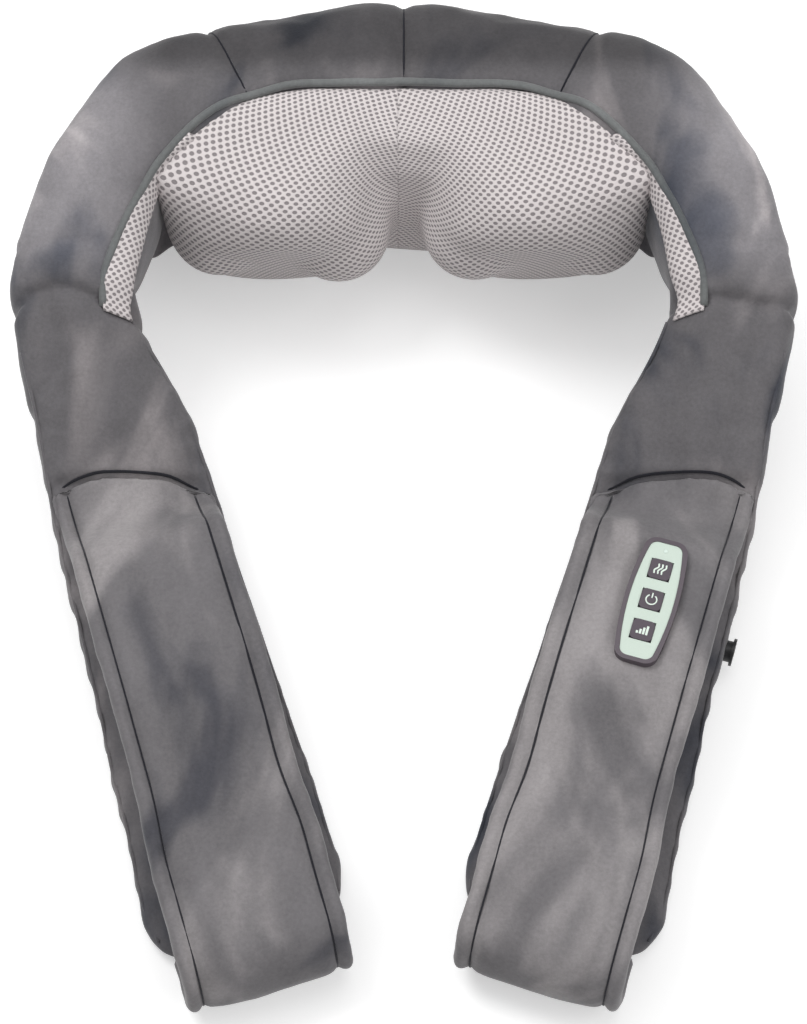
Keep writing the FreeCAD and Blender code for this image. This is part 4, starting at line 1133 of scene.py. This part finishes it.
def loop_rows(values, side, shape):
    """Rows of points along the strap; shape(half, thick) gives each row's section."""
    rows, run = [], 0.0
    stations = loop_stations()
    for i, (point, normal) in enumerate(stations):
        if i:
            run += (point - stations[i - 1][0]).length
        half = loop_half(values, point.x) if point.y > 0.02 or point.x > 0.34 else values.end_half
        thick = values.thick * (0.35 + 0.65 * step_between(0, 0.03, run))
        row = []
        for across, down in shape(half, thick):
            s = point.x - normal.x * down + loop_shift(values, side, run, across, half)
            z = point.y - normal.y * down
            row.append(arm_point(side, s, across, z))
        rows.append(row)
    return rows


def panel_bed(side, point):
    """How far the right strap gives way behind the control panel."""
    if side < 0 or point.z < 0.055:
        return 0.0
    middle = (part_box("panel_bezel")[0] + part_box("panel_bezel")[1]) / 2
    s, t, _ = arm_place(side, point)
    s0, t0, _ = arm_place(side, middle)
    return -0.0035 * (1 - step_between(0.022, 0.030, abs(s - s0))) * (1 - step_between(0.008, 0.013,
                                                                                       abs(t - t0)))


# How high the start of a strap, and the thread of its seam (a dark cord of painted seam shade), lie over the
# pad.
STRAP_LIFT = 0.0034
SEAM_LIFT = 0.0030


def sew_down(obj, label, side, lift):
    """Lays the start of a strap, or its sewing (dark cords of painted seam shade), on the arm's pad."""
    tree = tree_of(bpy.data.objects[f"{label}_velvet"])
    co = points_of(obj)
    for point in co:
        s, t, z = arm_place(side, Vector(point))
        if z < 0.045 or s > 0.130:
            continue
        inner = max(-0.034, min(0.040, -side * t))
        hit = tree.ray_cast(arm_point(side, s, -side * inner, 0.15), -UP)[0]
        if hit:
            fall = hit.z + lift - LOOP_LINE[0][1] - 0.0030 * step_between(0.09, 0.13, s)
            point[2] += fall * (1 - step_between(0.088, 0.130, s))
    set_points(obj, co)


def make_loop(values, label, side):
    """One padded hand loop with rolled borders."""
    def shape(half, thick):
        return loop_section(half, values.border, thick)
    strap = grid_surface(f"{label}_loop", loop_rows(values, side, shape), closed_rows=True, capped=True)
    add_subdivision(strap)
    apply_modifiers(strap)
    displace(strap, lambda p: 0.0009 * ripple(p, 38, 1.3 + side) + 0.0004 * ripple(p, 120, 4.2)
             + panel_bed(side, p))
    let_out(strap, side)
    sew_down(strap, label, side, STRAP_LIFT)
    on_floor(strap)
    smooth_shaded(strap)
    dress(strap, material_named("velvet_strap"))
    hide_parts(f"{label}_loop_cover", f"{label}_loop_foam")
    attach(strap, f"{label}_arm")


def make_loop_stitches(values, label, side):
    """The sewn lines in the strap's grooves and the arched seam that it starts from, as dark cords whose
    darkness is painted shade of the grooves.
    """
    for where, sign in (("inner", -side), ("outer", side)):
        def shape(half, thick):
            return [(sign * (half - values.border), 0.0034)]
        line = [row[0] for row in loop_rows(values, side, shape)][1:-5]
        stitch = tube(f"{label}_loop_{where}_stitch", smooth_line(line, 2), sizes().velvet.thread, 6)
        let_out(stitch, side)
        sew_down(stitch, label, side, STRAP_LIFT)
        dress(stitch, material_named("thread_and_seam_shade"))
        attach(stitch, f"{label}_arm")
    half = values.half
    line = []
    for k in range(25):
        t = 0.95 * half * (2 * k / 24 - 1)
        s = LOOP_LINE[0][0] - 0.0008 + loop_shift(values, side, 0.0, t, half)
        line.append(arm_point(side, s, t, LOOP_LINE[0][1] - 0.0016 - 0.007 * abs(t / half) ** 6))
    seam = tube(f"{label}_loop_seam", line, sizes().velvet.thread * 1.1, 6)
    let_out(seam, side)
    sew_down(seam, label, side, SEAM_LIFT)
    dress(seam, material_named("thread_and_seam_shade"))
    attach(seam, f"{label}_arm")


class MASSAGER_OT_loops(bpy.types.Operator):
    """Makes the two hand loops and their sewing."""
    bl_idname = "massager.loops"
    bl_label = "Hand loops"

    def execute(self, context):
        values = sizes().loop
        for label, side in SIDES:
            make_loop(values, label, side)
            make_loop_stitches(values, label, side)
        return {"FINISHED"}


# ---------------------------------------------------------------- mesh pouches

def ball_points(centre, radius, count=60):
    """Points spread evenly over a ball."""
    golden = math.pi * (3 - math.sqrt(5))
    out = []
    for k in range(count):
        z = 1 - 2 * (k + 0.5) / count
        ring = math.sqrt(1 - z * z)
        out.append(centre + radius * Vector((ring * math.cos(golden * k), ring * math.sin(golden * k), z)))
    return out


def hull_into(bm, points):
    """Adds the convex hull of points to a bmesh."""
    verts = [bm.verts.new(p) for p in points]
    made = bmesh.ops.convex_hull(bm, input=verts)
    spare = [v for v in made["geom_interior"] if isinstance(v, bmesh.types.BMVert)]
    bmesh.ops.delete(bm, geom=spare, context="VERTS")


# Where the mesh stands out over the large nodes: place across the wearer, and how far it hangs.
BUMPS = {-1: ((-0.098, 0.0005), (-0.035, 0.0040)), 1: ((0.038, 0.0030), (0.102, 0.0005))}
HANG = Vector((0, -0.80, -0.60))


def edge_points(side, low, high, drop=0.0015):
    """Points of the piping between two distances from the middle, just under the cord."""
    return [p - UP * drop for p in LINES["piping"] if p.y > 0.143 and low <= p.x * side <= high]


def pouch_hulls(values, side):
    """What the mesh is stretched over on one side: the heads' sweep, each large node, the housing."""
    reach = 0.021 + values.clearance
    sweep = []
    for k in range(24):
        angle = 2 * math.pi * k / 24
        centre = head_point(side * HEAD_APART + NODE_ORBIT * math.cos(angle), 0, NODE_ORBIT * math.sin(angle))
        sweep += ball_points(centre, reach)
    back = [Vector((side * x, 0.206, 0.028)) for x in (0.030, 0.070, 0.100)]
    hulls = [sweep + back + edge_points(side, 0.004, 0.15)]
    for x, hang in BUMPS[side]:
        ball = ball_points(Vector((x, HEAD_CENTRE.y, HEAD_CENTRE.z)) + HANG * hang, values.bump, 140)
        hulls.append(ball + edge_points(side, abs(x) - 0.030, abs(x) + 0.036) + [Vector((x, 0.204, 0.03))])
    house = [Vector((side * x, y, z)) for x in (0.012, 0.1095) for y, z in ((0.1655, 0.052), (0.1655, 0.118),
                                                                             (0.182, 0.030), (0.205, 0.028))]
    hulls.append(house + edge_points(side, 0.02, 0.12))
    cheek = [Vector((side * x, y, z)) for x, y, z in ((0.1285, 0.1570, 0.088), (0.1230, 0.1590, 0.060),
                                                       (0.1080, 0.1290, 0.068), (0.1040, 0.1280, 0.088))]
    hulls.append(cheek + edge_points(side, 0.095, 0.134))
    return hulls


def gusset_points():
    """The tuck between the two pouches, deeper towards the left one."""
    front = ((0.1665, 0.1330), (0.1590, 0.1150), (0.1600, 0.0800), (0.1600, 0.0480), (0.1680, 0.0330))
    points = [Vector((x, y + 0.10 * (0.02 - x), z)) for x in (-0.020, 0.020) for y, z in front]
    return points + edge_points(-1, 0, 0.014) + edge_points(1, 0, 0.014) + [Vector((x, 0.21, 0.030))
                                                                           for x in (-0.02, 0.02)]


def unwrap(obj):
    """A UV map in metres, with U along X."""
    view = bpy.context.view_layer
    for other in view.objects:
        other.select_set(False)
    view.objects.active = obj
    obj.select_set(True)
    bpy.ops.object.mode_set(mode="EDIT")
    bpy.ops.mesh.select_all(action="SELECT")
    bpy.ops.uv.unwrap(method="MINIMUM_STRETCH", iterations=12, margin=0.0)
    bpy.ops.object.mode_set(mode="OBJECT")
    mesh = obj.data
    count = len(mesh.loops)
    uv = np.zeros(count * 2, np.float32)
    mesh.uv_layers.active.data.foreach_get("uv", uv)
    uv = uv.reshape(-1, 2).astype(float)
    index = np.zeros(count, np.int32)
    mesh.loops.foreach_get("vertex_index", index)
    place = points_of(obj)[index].astype(float)
    flat = 0.0
    for face in mesh.polygons:
        ring = uv[list(face.loop_indices)]
        nxt = np.roll(ring, -1, axis=0)
        flat += abs((ring[:, 0] * nxt[:, 1] - nxt[:, 0] * ring[:, 1]).sum()) / 2
    scale = math.sqrt(sum(p.area for p in mesh.polygons) / max(flat, 1e-12))
    uv = (uv - uv.mean(0)) * scale
    centred = place - place.mean(0)
    lean = math.atan2((uv[:, 1] * centred[:, 0]).sum(), (uv[:, 0] * centred[:, 0]).sum())
    turn = np.array(((math.cos(lean), -math.sin(lean)), (math.sin(lean), math.cos(lean))))
    uv = uv @ turn
    mesh.uv_layers.active.data.foreach_set("uv", uv.astype(np.float32).ravel())


class MASSAGER_OT_pouches(bpy.types.Operator):
    """Stretches the air mesh over the kneading heads."""
    bl_idname = "massager.pouches"
    bl_label = "Air-mesh pouches"

    def execute(self, context):
        values = sizes().pouch
        bm = bmesh.new()
        for _, side in SIDES:
            for points in pouch_hulls(values, side):
                hull_into(bm, points)
        hull_into(bm, gusset_points())
        body = as_object("pouch_body", bm)
        remesh(body, 0.003)
        relax(body, 7)
        for label, side in SIDES:
            bm = opened(body)
            bmesh.ops.bisect_plane(bm, geom=bm.verts[:] + bm.edges[:] + bm.faces[:], dist=1e-6,
                                   plane_co=(-0.003, 0, 0), plane_no=(side, 0, 0), clear_inner=True)
            bmesh.ops.bisect_plane(bm, geom=bm.verts[:] + bm.edges[:] + bm.faces[:], dist=1e-6,
                                   plane_co=(0, 0.200, 0), plane_no=(0, 1, 0), clear_outer=True)
            pouch = smooth_shaded(as_object(f"{label}_mesh_pouch", bm))
            unwrap(pouch)
            thicken(pouch, 0.0012)
            dress(pouch, material_named("air_mesh_grey"))
            declare_sheet(pouch)
            if side < 0:
                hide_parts("mesh_panel")
            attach(pouch, "root")
        bpy.data.objects.remove(body)
        return {"FINISHED"}


# ---------------------------------------------------------------- control panel

def panel_axes(button):
    """The middle of a button's top, with its along, across and outward directions."""
    low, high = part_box(button)
    slide = next(j for j in frame["joints"] if j["child"] == button)
    out = -Vector(slide["axis"]).normalized()
    along, _ = arm_axes(1)
    along = (along - out * along.dot(out)).normalized()
    across = out.cross(along)
    mesh = frame["nodes"][button].data
    top = max(v.co.dot(out) for v in mesh.vertices)
    middle = (low + high) / 2
    middle += out * (top - middle.dot(out))
    return middle, along, across, out


def on_button(button, bm, name):
    """Sets a symbol drawn in its own plane on a button's top, upright for the wearer."""
    middle, along, across, out = panel_axes(button)
    turn = Matrix((across, -along, out)).transposed()
    if turn.determinant() < 0:
        turn = Matrix((-across, -along, out)).transposed()
    bmesh.ops.rotate(bm, cent=(0, 0, 0), matrix=turn, verts=bm.verts)
    bmesh.ops.translate(bm, vec=middle + out * 0.00012, verts=bm.verts)
    bmesh.ops.recalc_face_normals(bm, faces=bm.faces)
    symbol = as_object(name, bm)
    dress(symbol, material_named("symbol_pale"))
    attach(symbol, button)


SYMBOL_HIGH = 0.00022


def bar(bm, x, y, width, height):
    """A small raised bar with soft corners."""
    made = bmesh.ops.create_cube(bm, size=1)["verts"]
    bmesh.ops.scale(bm, vec=(width, height, SYMBOL_HIGH), verts=made)
    bmesh.ops.translate(bm, vec=(x, y, 0), verts=made)
    edges = [e for e in {e for v in made for e in v.link_edges}
             if abs(e.verts[0].co.z - e.verts[1].co.z) > 1e-6]
    bmesh.ops.bevel(bm, geom=edges, offset=0.00022, segments=3, affect="EDGES", profile=0.5, material=-1)


def ribbon(bm, points, width):
    """A flat raised stroke along a line."""
    rows = []
    for i, p in enumerate(points):
        ahead = (points[min(i + 1, len(points) - 1)] - points[max(i - 1, 0)]).normalized()
        off = Vector((-ahead.y, ahead.x)) * width / 2
        a, b = p + off, p - off
        rows.append([bm.verts.new((a.x, a.y, SYMBOL_HIGH / 2)), bm.verts.new((b.x, b.y, SYMBOL_HIGH / 2))])
    faces = []
    for (a, b), (c, d) in zip(rows, rows[1:]):
        faces.append(bm.faces.new((a, b, d, c)))
    made = bmesh.ops.extrude_face_region(bm, geom=faces)["geom"]
    bmesh.ops.translate(bm, vec=(0, 0, -SYMBOL_HIGH),
                        verts=[v for v in made if isinstance(v, bmesh.types.BMVert)])


def draw_heat(bm):
    for k in (-1, 0, 1):
        points = [Vector((0.0019 * k + 0.00042 * math.sin(a * 1.5 * math.pi) + 0.0012 * a, 0.0029 * a))
                  for a in (i / 8 - 1 for i in range(17))]
        ribbon(bm, points, 0.00080)


def draw_power(bm):
    ring = [Vector((0.0027 * math.sin(a), 0.0027 * math.cos(a) - 0.0002))
            for a in (math.radians(32 + 296 * k / 28) for k in range(29))]
    ribbon(bm, ring, 0.00065)
    ribbon(bm, [Vector((0, 0.0036)), Vector((0, 0.0022)), Vector((0, 0.0008))], 0.00065)


def draw_speed(bm):
    for k in range(4):
        height = 0.0014 + 0.0012 * k
        bar(bm, 0.0016 * (k - 1.5), -0.0025 + height / 2, 0.00115, height)


class MASSAGER_OT_symbols(bpy.types.Operator):
    """Puts the symbols on the three buttons."""
    bl_idname = "massager.symbols"
    bl_label = "Button symbols"

    def execute(self, context):
        for button, draw in (("heat_button", draw_heat), ("power_button", draw_power),
                             ("speed_button", draw_speed)):
            bm = bmesh.new()
            draw(bm)
            on_button(button, bm, button.replace("button", "symbol"))
        return {"FINISHED"}


# ---------------------------------------------------------------- finishes of the built parts

def make_finishes():
    """Every material of the massager, by the name of its finish."""
    # velvet_grey: painted sheen lightens the collar's sides and painted shade darkens its back.
    velvet("velvet_grey", (0.136, 0.130, 0.137), (0.290, 0.268, 0.272), (0.046, 0.050, 0.064), 1.0,
           sheen_and_shade=True)
    velvet("velvet_strap", (0.164, 0.157, 0.164), (0.310, 0.292, 0.296), (0.074, 0.074, 0.086), 1.0)
    velvet("piping_grey", (0.165, 0.172, 0.172), (0.26, 0.27, 0.27), (0.09, 0.10, 0.11), 0.7)
    # Near-black seam thread: partly the sewn thread, partly painted shade of the seam creases and the strap's
    # grooves.
    velvet("thread_and_seam_shade", (0.020, 0.020, 0.026), (0.04, 0.04, 0.045), (0.010, 0.010, 0.014), 0.5)
    air_mesh("air_mesh_grey", tuple(sizes().pouch.colour))
    moulded("symbol_pale", (0.76, 0.86, 0.78), 0.45, 2200.0, 0.06, 0.05)
    return {
        "velvet": material_named("velvet_grey"),
        "foam": moulded("foam_cream", (0.75, 0.74, 0.70), 0.95, 700.0, 0.2, 0.6),
        "air_mesh": material_named("air_mesh_grey"),
        "housing_plastic": moulded("housing_grey", (0.11, 0.112, 0.118), 0.55, 1600.0, 0.10, 0.15),
        "dark_plastic": moulded("plastic_black", (0.018, 0.018, 0.020), 0.42, 1800.0, 0.15, 0.12),
        "gear_plastic": moulded("acetal_white", (0.74, 0.73, 0.68), 0.38, 1500.0, 0.08, 0.08),
        "node_plastic": moulded("node_ivory", (0.60, 0.55, 0.47), 0.34, 1500.0, 0.10, 0.08, coat=0.2),
        "steel": moulded("steel_bright", (0.58, 0.58, 0.59), 0.30, 2600.0, 0.18, 0.10, metal=1.0),
        "motor_steel": moulded("steel_zinc", (0.46, 0.47, 0.48), 0.38, 2200.0, 0.25, 0.14, metal=1.0),
        "brass": moulded("brass_turned", (0.72, 0.50, 0.20), 0.30, 2600.0, 0.20, 0.10, metal=1.0),
        "circuit_board": moulded("board_green", (0.012, 0.13, 0.055), 0.42, 1200.0, 0.35, 0.12, coat=0.3),
        "red_lens": red_filter("lens_red"),
        "rim_plastic": moulded("rim_plum", (0.085, 0.066, 0.082), 0.40, 1700.0, 0.12, 0.08, coat=0.15),
        "panel_plastic": moulded("panel_pale_green", (0.60, 0.70, 0.62), 0.45, 1900.0, 0.06, 0.05, coat=0.1),
        "button_plastic": moulded("button_plum", (0.082, 0.064, 0.082), 0.48, 1500.0, 0.10, 0.10),
        "led_plastic": glowing("led_pale", (0.62, 0.72, 0.66), 0.15),
    }


class MASSAGER_OT_finishes(bpy.types.Operator):
    """Gives every built part the material of its slot."""
    bl_idname = "massager.finishes"
    bl_label = "Finishes"

    def execute(self, context):
        by_slot = make_finishes()
        for part in frame["nodes"].values():
            for holder in part.material_slots:
                slot = holder.material.name.split(".")[0]
                if slot not in by_slot:
                    raise RuntimeError(f"no finish for the slot {slot}")
                holder.material = by_slot[slot]
        return {"FINISHED"}


# ---------------------------------------------------------------- stage

TARGET = Vector((0, -0.006, 0.050))
CAMERA_FAR = 1.5
CAMERA_HIGH = math.radians(60)


def make_floor():
    """A pale floor that keeps the shadow and is white to the camera."""
    bm = bmesh.new()
    bmesh.ops.create_grid(bm, x_segments=24, y_segments=24, size=6)
    floor = as_object("floor", bm)
    material, tree, shader = new_material("floor_pale")
    where = tree.nodes.new("ShaderNodeTexCoord").outputs["Object"]
    tone = mix(tree, noise_node(tree, where, 3, 2), (0.80, 0.80, 0.80), (0.82, 0.82, 0.82))
    link(tree, tone, shader.inputs["Base Color"])
    shader.inputs["Roughness"].default_value = 0.9
    path = tree.nodes.new("ShaderNodeLightPath")
    seen = math_node(tree, "MAXIMUM", path.outputs["Is Camera Ray"], path.outputs["Is Glossy Ray"])
    seen = math_node(tree, "MAXIMUM", seen, path.outputs["Is Transmission Ray"])
    link(tree, math_node(tree, "MULTIPLY", seen, 0.42), shader.inputs["Emission Strength"])
    shader.inputs["Emission Color"].default_value = (1, 1, 1, 1)
    dress(floor, material)


def make_world():
    world = bpy.data.worlds.new("studio")
    bpy.context.scene.world = world
    world.use_nodes = True
    tree = world.node_tree
    back = tree.nodes["Background"]
    back.inputs["Color"].default_value = (1, 1, 1, 1)
    path = tree.nodes.new("ShaderNodeLightPath")
    seen = math_node(tree, "MAXIMUM", path.outputs["Is Camera Ray"], path.outputs["Is Transmission Ray"])
    strength = math_node(tree, "ADD", 0.42, math_node(tree, "MULTIPLY", seen, 0.58))
    link(tree, strength, back.inputs["Strength"])


def add_lamp(name, place, size, power):
    lamp = bpy.data.lights.new(name, "AREA")
    lamp.shape = "DISK"
    lamp.size = size
    lamp.energy = power
    obj = bpy.data.objects.new(name, lamp)
    bpy.context.scene.collection.objects.link(obj)
    obj.location = place
    obj.rotation_euler = (TARGET - Vector(place)).to_track_quat("-Z", "Y").to_euler()


def add_camera():
    camera = bpy.data.cameras.new("camera")
    camera.lens = 102.4
    camera.sensor_width = 36
    obj = bpy.data.objects.new("camera", camera)
    bpy.context.scene.collection.objects.link(obj)
    obj.location = TARGET + CAMERA_FAR * Vector((0, -math.cos(CAMERA_HIGH), math.sin(CAMERA_HIGH)))
    obj.rotation_euler = (TARGET - obj.location).to_track_quat("-Z", "Y").to_euler()
    bpy.context.scene.camera = obj


class MASSAGER_OT_stage(bpy.types.Operator):
    """Adds the camera, the floor and soft studio light."""
    bl_idname = "massager.stage"
    bl_label = "Stage"

    def execute(self, context):
        context.scene.view_settings.view_transform = "Standard"
        add_camera()
        make_floor()
        make_world()
        add_lamp("key", (-0.9, 0.5, 1.9), 1.0, 17)
        add_lamp("fill", (1.3, -0.7, 1.4), 1.4, 9)
        add_lamp("top", (0.1, 0.2, 2.2), 1.6, 12)
        return {"FINISHED"}


STEPS = (MASSAGER_OT_stage, MASSAGER_OT_finishes, MASSAGER_OT_velvet, MASSAGER_OT_loops, MASSAGER_OT_pouches,
         MASSAGER_OT_symbols)


class MASSAGER_PT_panel(bpy.types.Panel):
    """The massager's steps and sizes in the sidebar."""
    bl_idname = "MASSAGER_PT_panel"
    bl_label = "Shiatsu neck massager"
    bl_space_type = "VIEW_3D"
    bl_region_type = "UI"
    bl_category = "Massager"

    def draw(self, context):
        layout = self.layout
        for group in (sizes().velvet, sizes().loop, sizes().pouch):
            column = layout.column(align=True)
            for key in group.__annotations__:
                column.prop(group, key)
        for step in STEPS:
            layout.operator(step.bl_idname)


CLASSES = (VelvetSizes, LoopSizes, PouchSizes, MassagerSizes) + STEPS + (MASSAGER_PT_panel,)


def register():
    for made in CLASSES:
        bpy.utils.register_class(made)
    bpy.types.Scene.massager = PointerProperty(type=MassagerSizes)


def unregister():
    del bpy.types.Scene.massager
    for made in reversed(CLASSES):
        bpy.utils.unregister_class(made)


def main():
    register()
    bpy.ops.massager.stage()
    bpy.ops.massager.finishes()
    bpy.ops.massager.velvet()
    bpy.ops.massager.loops()
    bpy.ops.massager.pouches()
    bpy.ops.massager.symbols()


if __name__ == "__main__":
    main()
